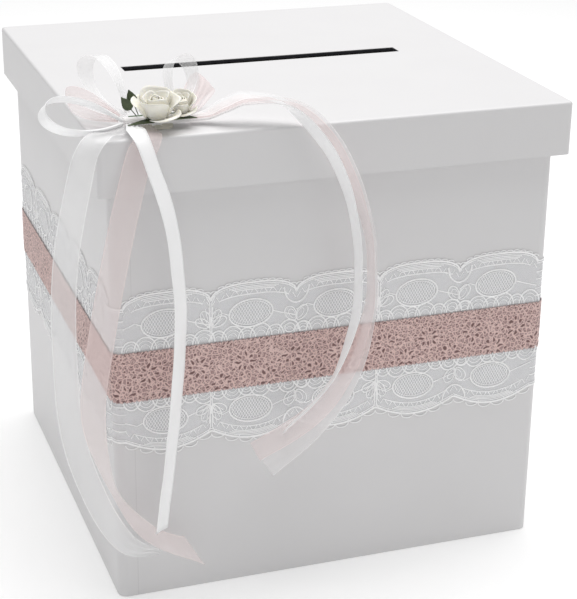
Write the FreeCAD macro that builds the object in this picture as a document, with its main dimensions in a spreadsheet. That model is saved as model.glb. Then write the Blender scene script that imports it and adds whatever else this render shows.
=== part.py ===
"""Wedding card box: a white paper-covered box with a lift-off lid, lace bands and a rose bow.

Millimetres, +Z up. The origin is the middle of the face that the box stands on, the front is at -Y,
and the bow sits near the lid's front left corner.
"""
import FreeCAD, Part
import math
import os
import re

import Sketcher
from FreeCAD import Rotation, Vector

doc = FreeCAD.newDocument("wedding_card_box")
sizes = doc.addObject("Spreadsheet::Sheet", "Sizes")

# Driving dimensions
DRIVING = {
    # Base
    "base_width": 228.4,
    "base_depth": 228.4,
    "total_height": 242,
    "base_corner": 5,
    "base_board": 2,
    "paper": 0.3,
    "turn_in": 20,
    "under_turn": 15,
    "under_inset": 2,
    "stay_leg": 15,
    "stay_gap": 3,
    # Lid
    "lid_clearance": 2.8,
    "lid_board": 1.2,
    "rim_depth": 27,
    "lid_corner": 2.5,
    "lid_edge": 1.6,
    "slot_length": 154,
    "slot_width": 9.5,
    "slot_offset": 5.3,
    # Lace bands round the base
    "tape": 0.15,
    "tape_height": 14,
    "lace": 0.4,
    "lace_height": 72,
    "lace_middle": 122.5,
    "scallops": 5,
    "scallop_rise": 6.5,
    "scallop_root": 1,
    "rose_lace": 0.9,
    "rose_lace_height": 26.5,
    "rose_lace_middle": 121.8,
    # Bow
    "bow_inset_x": 32,
    "bow_inset_y": 16.5,
    "glue": 1,
    "glue_length": 16,
    "glue_width": 9,
    "gather_length": 31,
    "gather_width": 7,
    "gather_height": 4,
    "gather_corner": 1.5,
    "binding": 0.5,
    "binding_width": 4,
    "ribbon": 0.3,
    "satin_width": 10,
    "organza_width": 12,
    "pink_width": 12.5,
    "loop_mouth": 1.6,
    "tail_clearance": 27,
    # Roses, leaves and stems
    "front_rose": 11.5,
    "back_rose": 7.8,
    "petal": 0.5,
    "leaf": 0.4,
    "leaf_width": 4.6,
    "short_leaf": 12.6,
    "side_leaf": 13,
    "long_leaf": 20,
    "stem": 1.2,
    "stem_length": 24,
}

# Sizes that follow from the driving ones
DERIVED = {
    "base_height": "total_height - lid_board - 2 * paper",
    "base_wall": "paper + base_board",
    "floor_top": "2 * paper + base_board",
    "core_width": "base_width - 2 * paper",
    "core_depth": "base_depth - 2 * paper",
    "core_corner": "base_corner - paper",
    "inside_width": "base_width - 2 * base_wall",
    "inside_depth": "base_depth - 2 * base_wall",
    "lid_wall": "2 * paper + 2 * lid_board",
    "lid_inside_width": "base_width + 2 * lid_clearance",
    "lid_inside_depth": "base_depth + 2 * lid_clearance",
    "lid_width": "lid_inside_width + 2 * lid_wall",
    "lid_depth": "lid_inside_depth + 2 * lid_wall",
    "lid_core_width": "lid_width - 2 * paper",
    "lid_core_depth": "lid_depth - 2 * paper",
    "lid_core_corner": "lid_corner - paper",
    "lid_core_edge": "lid_edge - paper",
    "lid_core_top": "total_height - paper",
    "rim_low": "total_height - rim_depth",
    "rim_board_low": "rim_low + paper",
    "lid_under": "total_height - paper - lid_board",
    "rim_board_height": "lid_under - rim_board_low",
    "doubler_width": "lid_width - 2 * paper - 2 * lid_board",
    "doubler_depth": "lid_depth - 2 * paper - 2 * lid_board",
    "tape_width": "base_width + 2 * tape",
    "tape_depth": "base_depth + 2 * tape",
    "tape_corner": "base_corner + tape",
    "lace_width": "tape_width + 2 * lace",
    "lace_depth": "tape_depth + 2 * lace",
    "lace_corner": "tape_corner + lace",
    "rose_lace_width": "lace_width + 2 * rose_lace",
    "rose_lace_depth": "lace_depth + 2 * rose_lace",
    "rose_lace_corner": "lace_corner + rose_lace",
    "pitch_x": "(base_width - 2 * base_corner) / scallops",
    "pitch_y": "(base_depth - 2 * base_corner) / scallops",
    "arc_x": "(pitch_x * pitch_x / 4 + scallop_rise * scallop_rise) / (2 * scallop_rise)",
    "arc_y": "(pitch_y * pitch_y / 4 + scallop_rise * scallop_rise) / (2 * scallop_rise)",
    "bow_x": "bow_inset_x - lid_width / 2",
    "bow_y": "bow_inset_y - lid_depth / 2",
    "glue_corner": "glue_width / 2.2",
    "gather_low": "total_height + glue + binding",
    "gather_middle": "glue + binding + gather_height / 2",
    "gather_top": "glue + binding + gather_height",
    "stem_back": "gather_width / 2 + stem",
    "tail_drop": "total_height - tail_clearance",
}
ALIASES = set(DRIVING) | set(DERIVED)
for row, (alias, value) in enumerate({**DRIVING, **DERIVED}.items(), start=1):
    sizes.set(f"A{row}", alias.replace("_", " "))
    sizes.set(f"B{row}", f"={value}" if alias in DERIVED else str(value))
    sizes.setAlias(f"B{row}", alias)
    doc.recompute()


def size(alias):
    """A size's value in millimetres, or a count."""
    return float(getattr(sizes, alias))


def bind(thing, target, formula):
    """Ties a property to a formula of sizes."""
    def cell(word):
        return f"Sizes.{word.group()}" if word.group() in ALIASES else word.group()
    thing.setExpression(target, re.sub(r"[a-z][a-z_]*", cell, formula))


subparts = []


def subpart(label, thing):
    """Names a piece of the box."""
    thing.Label = label
    subparts.append(thing)
    return thing


def block(name, low, lengths):
    """A box from its lowest corner and its three lengths, each a formula."""
    box = doc.addObject("Part::Box", name)
    for axis, formula in zip("xyz", low):
        bind(box, f"Placement.Base.{axis}", formula)
    for side, formula in zip(("Length", "Width", "Height"), lengths):
        bind(box, side, formula)
    return box


def centred_block(name, width, depth, low, height):
    """A box that is centred on the vertical axis."""
    return block(name, (f"-({width}) / 2", f"-({depth}) / 2", low), (width, depth, height))


def combine(kind, name, base, tool):
    """A cut, common or fuse of two shapes."""
    result = doc.addObject(f"Part::{kind}", name)
    result.Base = base
    result.Tool = tool
    return result


def plane(body, role):
    """One of a body's own origin planes or axes."""
    return next(part for part in body.Origin.OriginFeatures if part.Role == role)


def new_sketch(body, name, role, offset):
    """A sketch parallel to an origin plane of its body, at a distance along the plane's normal."""
    sketch = body.newObject("Sketcher::SketchObject", name)
    sketch.AttachmentSupport = (plane(body, role), [""])
    sketch.MapMode = "FlatFace"
    bind(sketch, "AttachmentOffset.Base.z", offset)
    return sketch


def named(sketch, constraint, name, formula):
    """Adds a dimension to a sketch and ties it to a formula."""
    index = sketch.addConstraint(constraint)
    sketch.renameConstraint(index, name)
    bind(sketch, f"Constraints.{name}", formula)


def line(start, end):
    return Part.LineSegment(Vector(*start, 0), Vector(*end, 0))


def arc(centre, radius, start, end):
    """A sketch arc between two angles in degrees, anticlockwise."""
    circle = Part.Circle(Vector(*centre, 0), Vector(0, 0, 1), radius)
    return Part.ArcOfCircle(circle, math.radians(start), math.radians(end))


def rounded_rectangle(sketch, prefix, width, depth, corner):
    """A centred rectangle with round corners, its width, depth and radius taken from three sizes."""
    x, y, r = size(width) / 2, size(depth) / 2, size(corner)
    first = sketch.GeometryCount
    sides = [
        line((-x + r, -y), (x - r, -y)),
        line((x, -y + r), (x, y - r)),
        line((x - r, y), (-x + r, y)),
        line((-x, y - r), (-x, -y + r)),
    ]
    corners = [
        arc((x - r, -y + r), r, 270, 360),
        arc((x - r, y - r), r, 0, 90),
        arc((-x + r, y - r), r, 90, 180),
        arc((-x + r, -y + r), r, 180, 270),
    ]
    for curve in sides + corners:
        sketch.addGeometry(curve, False)
    for turn in range(4):
        side, bend, following = first + turn, first + 4 + turn, first + (turn + 1) % 4
        sketch.addConstraint(Sketcher.Constraint("Tangent", side, 2, bend, 1))
        sketch.addConstraint(Sketcher.Constraint("Tangent", bend, 2, following, 1))
    for bend in range(first + 4, first + 7):
        sketch.addConstraint(Sketcher.Constraint("Equal", bend, bend + 1))
    sketch.addConstraint(Sketcher.Constraint("Vertical", first + 1))
    sketch.addConstraint(Sketcher.Constraint("Horizontal", first + 2))
    sketch.addConstraint(Sketcher.Constraint("Symmetric", first, 1, first, 2, -2))
    sketch.addConstraint(Sketcher.Constraint("Symmetric", first + 3, 1, first + 3, 2, -1))
    span = Sketcher.Constraint("DistanceX", first + 3, 1, first + 1, 1, 2 * x)
    named(sketch, span, f"{prefix}_width", width)
    span = Sketcher.Constraint("DistanceY", first, 1, first + 2, 1, 2 * y)
    named(sketch, span, f"{prefix}_depth", depth)
    named(sketch, Sketcher.Constraint("Radius", first + 4, r), f"{prefix}_corner", corner)


def pad(body, name, sketch, height):
    """Pads a sketch along its plane's normal."""
    feature = body.newObject("PartDesign::Pad", name)
    feature.Profile = sketch
    bind(feature, "Length", height)
    return feature


def rounded_form(name, low, height, outer, inner=None, role="XY_Plane"):
    """A prism with round corners, or a ring of that form round an inner one."""
    body = doc.addObject("PartDesign::Body", name)
    sketch = new_sketch(body, f"{name}_outline", role, low)
    rounded_rectangle(sketch, "outer", *outer)
    if inner:
        rounded_rectangle(sketch, "inner", *inner)
    pad(body, f"{name}_pad", sketch, height)
    return body


def round_top(body, top, radius):
    """Rounds the edges of a form's top face."""
    doc.recompute()
    base = body.Tip
    edges = []
    for number, edge in enumerate(base.Shape.Edges, start=1):
        if all(abs(vertex.Z - size(top)) < 1e-6 for vertex in edge.Vertexes):
            edges.append(f"Edge{number}")
    fillet = body.newObject("PartDesign::Fillet", f"{body.Name}_round")
    fillet.Base = (base, edges)
    bind(fillet, "Radius", radius)
    return body


# Base boards: one rounded core, sliced into the floor board and four butted walls
base_core = rounded_form(
    "base_core", "2 * paper", "base_height - 3 * paper", ("core_width", "core_depth", "core_corner")
)
floor_slab = centred_block("floor_slab", "base_width", "base_depth", "2 * paper", "base_board")
subpart("base_bottom_board", combine("Common", "base_floor", base_core, floor_slab))

base_hollow = centred_block("base_hollow", "inside_width", "inside_depth", "0", "total_height")
base_walls = combine("Cut", "base_walls", base_core, base_hollow)
for side, sign in (("front", -1), ("back", 1)):
    near = "-base_depth / 2" if sign < 0 else "base_depth / 2 - base_wall"
    slice_box = block(
        f"{side}_slice",
        ("-base_width / 2", near, "floor_top"),
        ("base_width", "base_wall", "base_height"),
    )
    subpart(f"base_{side}_board", combine("Common", f"base_{side}", base_walls, slice_box))
for side, sign in (("left", -1), ("right", 1)):
    near = "-base_width / 2" if sign < 0 else "base_width / 2 - base_wall"
    slice_box = block(
        f"{side}_slice",
        (near, "-inside_depth / 2", "floor_top"),
        ("base_wall", "inside_depth", "base_height"),
    )
    subpart(f"base_{side}_board", combine("Common", f"base_{side}", base_walls, slice_box))

# Base paper: the wrap turns in over the top edge and under the floor
base_skin = rounded_form(
    "base_skin", "paper", "base_height - paper", ("base_width", "base_depth", "base_corner")
)
wrap_shell = combine("Cut", "wrap_shell", base_skin, base_core)
mouth = centred_block(
    "mouth", "inside_width - 2 * paper", "inside_depth - 2 * paper", "floor_top", "total_height"
)
open_top = combine("Cut", "open_top", wrap_shell, mouth)
under_gap = centred_block(
    "under_gap", "base_width - 2 * under_turn", "base_depth - 2 * under_turn", "0", "2 * paper"
)
open_shell = combine("Cut", "open_shell", open_top, under_gap)
turn_solid = centred_block(
    "turn_solid", "inside_width", "inside_depth", "base_height - turn_in", "turn_in - paper"
)
turn_ring = combine("Cut", "turn_ring", turn_solid, mouth)
subpart("base_wrap", combine("Fuse", "base_wrap_paper", open_shell, turn_ring))

subpart(
    "base_floor_liner",
    centred_block(
        "floor_liner", "inside_width - 2 * paper", "inside_depth - 2 * paper", "floor_top", "paper"
    ),
)
subpart(
    "base_under_sheet",
    centred_block(
        "under_sheet", "base_width - 2 * under_inset", "base_depth - 2 * under_inset", "0", "paper"
    ),
)

# Corner stays: a folded paper strip up each inside corner
stays = []
for x_sign in (-1, 1):
    for y_sign in (-1, 1):
        corner_x = "-inside_width / 2" if x_sign < 0 else "inside_width / 2 - stay_leg"
        corner_y = "-inside_depth / 2" if y_sign < 0 else "inside_depth / 2 - stay_leg"
        hollow_x = "-inside_width / 2 + paper" if x_sign < 0 else "inside_width / 2 - paper - stay_leg"
        hollow_y = "-inside_depth / 2 + paper" if y_sign < 0 else "inside_depth / 2 - paper - stay_leg"
        low = "floor_top + paper"
        height = "base_height - turn_in - stay_gap - floor_top - paper"
        number = len(stays) + 1
        square = block(f"stay_square_{number}", (corner_x, corner_y, low), ("stay_leg", "stay_leg", height))
        hollow = block(f"stay_hollow_{number}", (hollow_x, hollow_y, low), ("stay_leg", "stay_leg", height))
        stays.append(combine("Cut", f"stay_{number}", square, hollow))
stay_group = doc.addObject("Part::Compound", "stay_group")
stay_group.Links = stays
subpart("base_corner_stays", stay_group)

# Bands: adhesive tape, scalloped white lace over it and the rose crochet lace over both
tape_form = rounded_form(
    "tape_form",
    "rose_lace_middle - tape_height / 2",
    "tape_height",
    ("tape_width", "tape_depth", "tape_corner"),
    ("base_width", "base_depth", "base_corner"),
)
subpart("band_tape", tape_form)

lace_form = rounded_form(
    "lace_form",
    "lace_middle - lace_height / 2",
    "lace_height",
    ("lace_width", "lace_depth", "lace_corner"),
    ("tape_width", "tape_depth", "tape_corner"),
)


def scallop_row(body, name, role, reach, pitch, radius):
    """Scallops along one wall's lace and the wall opposite: a pair above and below, repeated."""
    sketch = new_sketch(body, f"{name}_outline", role, reach)
    half, root, rise, bend = size(pitch) / 2, size("scallop_root"), size("scallop_rise"), size(radius)
    first_x = -size(pitch) * (size("scallops") - 1) / 2
    swing = math.degrees(math.asin(half / bend))
    for edge, up in (("top", 1), ("bottom", -1)):
        level = size("lace_middle") + up * size("lace_height") / 2
        first = sketch.GeometryCount
        left, right = first_x - half, first_x + half
        sketch.addGeometry(line((left, level - up * root), (right, level - up * root)), False)
        sketch.addGeometry(line((right, level - up * root), (right, level)), False)
        centre = (first_x, level + up * (rise - bend))
        middle = 90 * up
        sketch.addGeometry(arc(centre, bend, middle - swing, middle + swing), False)
        sketch.addGeometry(line((left, level), (left, level - up * root)), False)
        near, far = (1, 2) if up > 0 else (2, 1)
        joints = ((first, 2, first + 1, 1), (first + 1, 2, first + 2, near))
        joints += ((first + 2, far, first + 3, 1), (first + 3, 2, first, 1))
        for joint in joints:
            sketch.addConstraint(Sketcher.Constraint("Coincident", *joint))
        sketch.addConstraint(Sketcher.Constraint("Horizontal", first))
        sketch.addConstraint(Sketcher.Constraint("Vertical", first + 1))
        sketch.addConstraint(Sketcher.Constraint("Vertical", first + 3))
        sketch.addConstraint(Sketcher.Constraint("Equal", first + 1, first + 3))
        distance = Sketcher.Constraint("DistanceX", first, 1, first, 2, 2 * half)
        named(sketch, distance, f"{edge}_pitch", pitch)
        distance = Sketcher.Constraint("DistanceX", -1, 1, first, 1, left)
        named(sketch, distance, f"{edge}_start", f"-{pitch} * scallops / 2")
        distance = Sketcher.Constraint("DistanceY", -1, 1, first + 1, 2, level)
        sign = "+" if up > 0 else "-"
        named(sketch, distance, f"{edge}_level", f"lace_middle {sign} lace_height / 2")
        low, high = ((first + 1, 1), (first + 1, 2)) if up > 0 else ((first + 1, 2), (first + 1, 1))
        distance = Sketcher.Constraint("DistanceY", *low, *high, root)
        named(sketch, distance, f"{edge}_root", "scallop_root")
        named(sketch, Sketcher.Constraint("Radius", first + 2, bend), f"{edge}_arc", radius)
    first_pair = pad(body, f"{name}_pair", sketch, "lace")
    along = body.newObject("PartDesign::LinearPattern", f"{name}_along")
    along.Direction = (sketch, ["H_Axis"])
    bind(along, "Length", f"{pitch} * (scallops - 1)")
    bind(along, "Occurrences", "scallops")
    opposite = body.newObject("PartDesign::PolarPattern", f"{name}_opposite")
    opposite.Axis = (plane(body, "Z_Axis"), [""])
    opposite.Angle = 360
    opposite.Occurrences = 2
    row = body.newObject("PartDesign::MultiTransform", name)
    row.Originals = [first_pair]
    row.Transformations = [along, opposite]
    body.Tip = row


scallop_row(lace_form, "front_scallops", "XZ_Plane", "tape_depth / 2", "pitch_x", "arc_x")
scallop_row(lace_form, "side_scallops", "YZ_Plane", "tape_width / 2", "pitch_y", "arc_y")
subpart("white_lace_band", lace_form)

rose_lace_form = rounded_form(
    "rose_lace_form",
    "rose_lace_middle - rose_lace_height / 2",
    "rose_lace_height",
    ("rose_lace_width", "rose_lace_depth", "rose_lace_corner"),
    ("lace_width", "lace_depth", "lace_corner"),
)
subpart("rose_lace_band", rose_lace_form)

# Lid boards: a core with rounded top edges, sliced into the top and four rims, with an inner rim
slot = block(
    "slot",
    ("-slot_length / 2", "slot_offset - slot_width / 2", "rim_low"),
    ("slot_length", "slot_width", "2 * rim_depth"),
)
lid_core = rounded_form(
    "lid_core",
    "rim_board_low",
    "rim_board_height + lid_board",
    ("lid_core_width", "lid_core_depth", "lid_core_corner"),
)
round_top(lid_core, "lid_core_top", "lid_core_edge")
lid_slab = centred_block("lid_slab", "lid_width", "lid_depth", "lid_under", "2 * lid_board")
lid_sheet = combine("Common", "lid_sheet", lid_core, lid_slab)
subpart("lid_top_board", combine("Cut", "lid_top", lid_sheet, slot))

rim_hollow = centred_block("rim_hollow", "doubler_width", "doubler_depth", "rim_low", "total_height")
rim_walls = combine("Cut", "rim_walls", lid_core, rim_hollow)
for side, sign in (("front", -1), ("back", 1)):
    near = "-lid_depth / 2" if sign < 0 else "doubler_depth / 2"
    slice_box = block(
        f"rim_{side}_slice",
        ("-lid_width / 2", near, "rim_low"),
        ("lid_width", "paper + lid_board", "lid_under - rim_low"),
    )
    subpart(f"lid_{side}_rim", combine("Common", f"rim_{side}", rim_walls, slice_box))
    inner = "-doubler_depth / 2" if sign < 0 else "doubler_depth / 2 - lid_board"
    doubler = block(
        f"doubler_{side}",
        ("-doubler_width / 2", inner, "rim_board_low"),
        ("doubler_width", "lid_board", "rim_board_height"),
    )
    subpart(f"lid_{side}_doubler", doubler)
for side, sign in (("left", -1), ("right", 1)):
    near = "-lid_width / 2" if sign < 0 else "doubler_width / 2"
    slice_box = block(
        f"rim_{side}_slice",
        (near, "-doubler_depth / 2", "rim_low"),
        ("paper + lid_board", "doubler_depth", "lid_under - rim_low"),
    )
    subpart(f"lid_{side}_rim", combine("Common", f"rim_{side}", rim_walls, slice_box))
    inner = "-doubler_width / 2" if sign < 0 else "doubler_width / 2 - lid_board"
    doubler = block(
        f"doubler_{side}",
        (inner, "lid_board - doubler_depth / 2", "rim_board_low"),
        ("lid_board", "doubler_depth - 2 * lid_board", "rim_board_height"),
    )
    subpart(f"lid_{side}_doubler", doubler)

# Lid paper: the wrap turns round the rim's lower edge and lines it, and a liner covers the top inside
lid_skin = rounded_form("lid_skin", "rim_low", "rim_depth", ("lid_width", "lid_depth", "lid_corner"))
round_top(lid_skin, "total_height", "lid_edge")
lid_shell = combine("Cut", "lid_shell", lid_skin, lid_core)
lid_mouth = centred_block(
    "lid_mouth", "lid_inside_width", "lid_inside_depth", "rim_low - paper", "lid_under - rim_low + paper"
)
lid_cap = combine("Cut", "lid_cap", lid_shell, lid_mouth)
return_solid = centred_block(
    "return_solid",
    "lid_inside_width + 2 * paper",
    "lid_inside_depth + 2 * paper",
    "rim_board_low",
    "rim_board_height",
)
return_ring = combine("Cut", "return_ring", return_solid, lid_mouth)
lid_paper = combine("Fuse", "lid_paper", lid_cap, return_ring)
subpart("lid_wrap", combine("Cut", "lid_wrap_paper", lid_paper, slot))
lid_lining = centred_block("lid_lining", "lid_inside_width", "lid_inside_depth", "base_height", "paper")
subpart("lid_liner", combine("Cut", "lid_liner_paper", lid_lining, slot))


# Bow middle: glue on the lid, the bunched ribbons and the band that ties them
def at_bow(thing, x, y, z):
    """Places a piece from the bow's middle on the lid, by three formulas."""
    bind(thing, "Placement.Base.x", f"bow_x + ({x})")
    bind(thing, "Placement.Base.y", f"bow_y + ({y})")
    bind(thing, "Placement.Base.z", f"total_height + ({z})")
    return thing


glue_form = rounded_form("glue_form", "0", "glue", ("glue_length", "glue_width", "glue_corner"))
subpart("bow_glue_pad", at_bow(glue_form, "0", "0", "0"))

gather_form = rounded_form(
    "gather_form",
    "-gather_length / 2",
    "gather_length",
    ("gather_width", "gather_height", "gather_corner"),
    role="YZ_Plane",
)
subpart("bow_gather", at_bow(gather_form, "0", "0", "gather_middle"))

band_outer = block(
    "band_outer",
    ("bow_x - binding_width / 2", "bow_y - gather_width / 2 - binding", "gather_low - binding"),
    ("binding_width", "gather_width + stem + 2 * binding", "gather_height + 2 * binding"),
)
band_inner = block(
    "band_inner",
    ("bow_x - binding_width", "bow_y - gather_width / 2", "gather_low"),
    ("2 * binding_width", "gather_width + stem", "gather_height"),
)
subpart("bow_binding", combine("Cut", "binding_band", band_outer, band_inner))

stems = []
for level in (1, 3):
    stem = doc.addObject("Part::Cylinder", f"stem_{level}")
    bind(stem, "Radius", "stem / 2")
    bind(stem, "Height", "stem_length")
    stem.Placement.Rotation = Rotation(Vector(0, 1, 0), 90)
    bind(stem, "Placement.Base.x", "bow_x - stem_length / 2")
    bind(stem, "Placement.Base.y", "bow_y + gather_width / 2 + stem / 2")
    bind(stem, "Placement.Base.z", f"gather_low + gather_height * {level} / 4")
    stems.append(stem)
stem_group = doc.addObject("Part::Compound", "stem_group")
stem_group.Links = stems
subpart("rose_stems", stem_group)

# Ribbons: thin strips lofted through square-ended sections along a smooth line
BOW = Vector(size("bow_x"), size("bow_y"), size("total_height"))
GATHER_END = size("gather_length") / 2
LEFT_FRONT = BOW + Vector(-GATHER_END, -size("gather_width") / 2, size("gather_middle"))
RIGHT_END = BOW + Vector(GATHER_END, 0, size("gather_middle"))
LID_CORNER = Vector(-size("lid_width") / 2, -size("lid_depth") / 2, size("total_height"))
# The bow's lines are drawn for a gather 31 long and tails that drop 215, and follow both
BOW_SCALE = size("gather_length") / 31
DROP_SCALE = size("tail_drop") / 215
TAIL_STEPS = 4
LOOP_STEPS = 28
PINCH = 0.3


def smooth(values, span, part):
    """A point on the smooth curve through a row of values, part of the way along one span."""
    before, start, end, after = (
        values[min(max(span + step, 0), len(values) - 1)] for step in (-1, 0, 1, 2)
    )
    pull = (end - before) * 0.5
    push = (after - start) * 0.5
    square = part * part
    cube = square * part
    return (
        start * (2 * cube - 3 * square + 1)
        + pull * (cube - 2 * square + part)
        + end * (3 * square - 2 * cube)
        + push * (cube - square)
    )


def strip(label, centres, acrosses, widths):
    """A ribbon's solid from its middle line, its width's direction and its width at each section."""
    half = size("ribbon") / 2
    sections = []
    for index, centre in enumerate(centres):
        ahead = centres[min(index + 1, len(centres) - 1)]
        behind = centres[max(index - 1, 0)]
        along = (ahead - behind).normalize()
        across = acrosses[index] - along * acrosses[index].dot(along)
        across.normalize()
        face = along.cross(across)
        side = across * (widths[index] / 2)
        lift = face * half
        ring = [centre + side + lift, centre - side + lift, centre - side - lift, centre + side - lift]
        sections.append(Part.makePolygon(ring + ring[:1]))
    feature = doc.addObject("Part::Feature", label)
    feature.Shape = Part.makeLoft(sections, True, True)
    return subpart(label, feature)


def tail(label, width, root, near_rows, hanging_rows):
    """A tail from rows of a place, its width's direction and its share of the ribbon's width.

    The near rows are measured from the gather, and the hanging ones from the lid's front left corner.
    """
    places = [root + Vector(*place) * BOW_SCALE for place, _, _ in near_rows]
    places += [LID_CORNER + Vector(*place) * DROP_SCALE for place, _, _ in hanging_rows]
    rows = near_rows + hanging_rows
    directions = [Vector(*direction).normalize() for _, direction, _ in rows]
    shares = [share for _, _, share in rows]
    centres, acrosses, widths = [], [], []
    for span in range(len(rows) - 1):
        for step in range(TAIL_STEPS):
            part = step / TAIL_STEPS
            centres.append(smooth(places, span, part))
            acrosses.append(smooth(directions, span, part))
            widths.append(size(width) * smooth(shares, span, part))
    centres.append(places[-1])
    acrosses.append(directions[-1])
    widths.append(size(width) * shares[-1])
    strip(label, centres, acrosses, widths)


tail("satin_front_tail", "satin_width", LEFT_FRONT, [
    ((2.5, -1.3, 0.1), (1, 0, 0), 0.5),
    ((2.7, -7, 0.1), (1, 0, 0), 0.8),
], [
    ((20.2, -0.5, 3), (0.98, 0.2, 0), 1),
    ((22.2, -5.6, -1.8), (0.93, 0.37, 0), 1),
    ((25.7, -7.2, -14.4), (0.82, 0.57, 0), 1),
    ((32.6, -7.2, -39.8), (0.76, 0.65, 0), 1),
    ((35.9, -7, -78), (0.76, 0.65, 0), 1),
    ((35, -7, -108.3), (0.76, 0.65, 0), 1),
    ((31, -7.4, -150.6), (0.76, 0.65, 0), 1),
    ((24.6, -8, -198.6), (0.76, 0.65, 0), 1),
])
tail("pink_front_tail", "pink_width", LEFT_FRONT, [
    ((9.5, -1.3, -1.1), (1, 0, 0), 0.4),
    ((9.2, -7, -2.2), (1, 0, 0), 0.75),
], [
    ((24.5, 0.9, 1.1), (1, 0, 0), 0.95),
    ((22, -2.2, -2.6), (1, 0, 0), 1),
    ((18, -2.6, -10), (1, 0, 0), 1),
    ((8, -6, -45), (0.98, -0.2, 0), 1),
    ((-1.8, -5.6, -93), (0.95, -0.31, 0.05), 1),
    ((-6.9, -4.6, -134.3), (0.93, -0.3, 0.1), 1),
    ((1, -3.8, -172), (0.82, -0.21, 0.33), 1),
    ((20, -3.8, -201.4), (0.68, -0.1, 0.6), 1),
    ((42.3, -4.5, -215), (0.53, 0, 0.85), 1),
])
tail("organza_left_tail", "organza_width", LEFT_FRONT, [
    ((0.5, -1.9, -1.7), (0.7, -0.7, 0), 0.45),
    ((-6.5, -6.3, -2.1), (0.7, -0.7, 0), 0.8),
], [
    ((2.5, 2.3, 2.4), (0.7, -0.7, 0), 1),
    ((-4.3, -1.3, -3), (0.63, -0.75, -0.2), 1),
    ((-8.5, 0.5, -18), (0.81, -0.45, -0.28), 1),
    ((-13.6, 12, -59), (0.94, -0.33, 0), 1),
    ((-15.3, 16, -100.4), (0.94, -0.33, 0), 1),
    ((-14.1, 12, -147.5), (0.93, -0.3, 0.15), 1),
    ((-5.2, 4, -182.2), (0.82, -0.2, 0.42), 1),
    ((8.8, 1.4, -208.3), (0.65, -0.08, 0.65), 0.9),
    ((25.5, 0.8, -215.4), (0.37, 0.06, 0.81), 0.3),
])
tail("pink_right_tail", "pink_width", RIGHT_END, [
    ((0.7, 0, -0.5), (0, 1, 0), 0.4),
    ((8.5, -1.5, 0.7), (0, 1, 0), 0.6),
    ((16.5, -5, 5.5), (0, 1, 0), 0.85),
    ((26, -8.5, 9.1), (0, 1, 0), 1),
], [
    ((92, -1, 10.4), (-0.2, 0.95, -0.2), 1),
    ((106, -10, -4.5), (-0.48, 0.8, -0.36), 1),
    ((115.4, -12, -22.2), (-0.5, 0.84, -0.2), 1),
    ((123, -13, -45), (-0.45, 0.89, 0), 1),
    ((125.6, -13, -70), (-0.45, 0.89, 0), 1),
    ((121.5, -12.5, -96), (-0.4, 0.9, 0.1), 1),
    ((110, -10.5, -125.5), (-0.3, 0.93, 0.2), 1),
    ((93, -9, -147.5), (-0.26, 0.93, 0.26), 1),
    ((73.1, -7, -163.3), (-0.26, 0.93, 0.26), 1),
])
tail("satin_right_tail", "satin_width", RIGHT_END, [
    ((0.7, 0, -1.5), (0, 1, 0), 0.45),
    ((8.5, -1.5, -0.4), (0, 1, 0), 0.7),
    ((16.7, -5, 4), (0, 1, 0), 0.9),
    ((26, -8.5, 7.5), (0, 1, 0), 1),
], [
    ((91.2, -1, 8.9), (-0.2, 0.95, -0.2), 1),
    ((103.9, -10, -6.2), (-0.36, 0.86, -0.36), 1),
    ((112.7, -12, -23.5), (-0.3, 0.93, -0.2), 1),
    ((119.8, -13, -45.6), (-0.18, 0.98, 0), 1),
    ((122.3, -13, -70), (-0.15, 0.98, 0), 1),
    ((118.3, -12.5, -94.9), (-0.15, 0.98, 0.1), 1),
    ((106, -10.5, -122.3), (0.02, 0.98, 0.15), 1),
    ((94.9, -9, -136.4), (0.12, 0.98, 0.1), 1),
    ((82.7, -7.5, -147.6), (0.22, 0.97, 0), 0.9),
])
tail("organza_right_tail", "organza_width", RIGHT_END, [
    ((0.7, 0, 0.5), (0, 1, 0), 0.45),
    ((8.5, -1.5, 1.9), (0, 1, 0), 0.7),
    ((16.1, -5, 6.9), (0, 1, 0), 0.9),
    ((26, -8.5, 10.7), (0, 1, 0), 1),
], [
    ((92.8, -1, 11.9), (-0.2, 0.95, -0.2), 1),
    ((107.3, -10, -3.4), (-0.48, 0.8, -0.36), 1),
    ((117, -12, -21.4), (-0.5, 0.84, -0.2), 1),
    ((124.7, -13, -44.6), (-0.45, 0.89, 0), 1),
    ((127.3, -13, -70), (-0.45, 0.89, 0), 1),
    ((123.2, -12.5, -96.7), (-0.4, 0.9, 0.1), 1),
    ((112.5, -11, -127.5), (-0.3, 0.93, 0.2), 1),
    ((97, -9.5, -152), (-0.26, 0.93, 0.26), 1),
    ((79.4, -8, -172.7), (-0.26, 0.93, 0.26), 1),
])


def bow_loop(label, width, start, direction, length, spread, across):
    """A ribbon loop: a drop-shaped line out from the gather and back, pinched where it starts."""
    out = Vector(*direction).normalize()
    wide = Vector(*across)
    wide = (wide - out * wide.dot(out)).normalize()
    open_way = out.cross(wide)
    centres, acrosses, widths = [], [], []
    for step in range(LOOP_STEPS + 1):
        angle = 2 * math.pi * step / LOOP_STEPS
        swell = math.sin(angle / 2)
        reach = BOW_SCALE * length * swell ** 2
        opening = BOW_SCALE * spread * 1.3 * math.sin(angle) * swell
        opening += size("loop_mouth") / 2 * math.cos(angle / 2)
        centres.append(BOW + Vector(*start) + out * reach + open_way * opening)
        acrosses.append(wide)
        widths.append(size(width) * (PINCH + (1 - PINCH) * swell ** 2))
    strip(label, centres, acrosses, widths)


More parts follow.
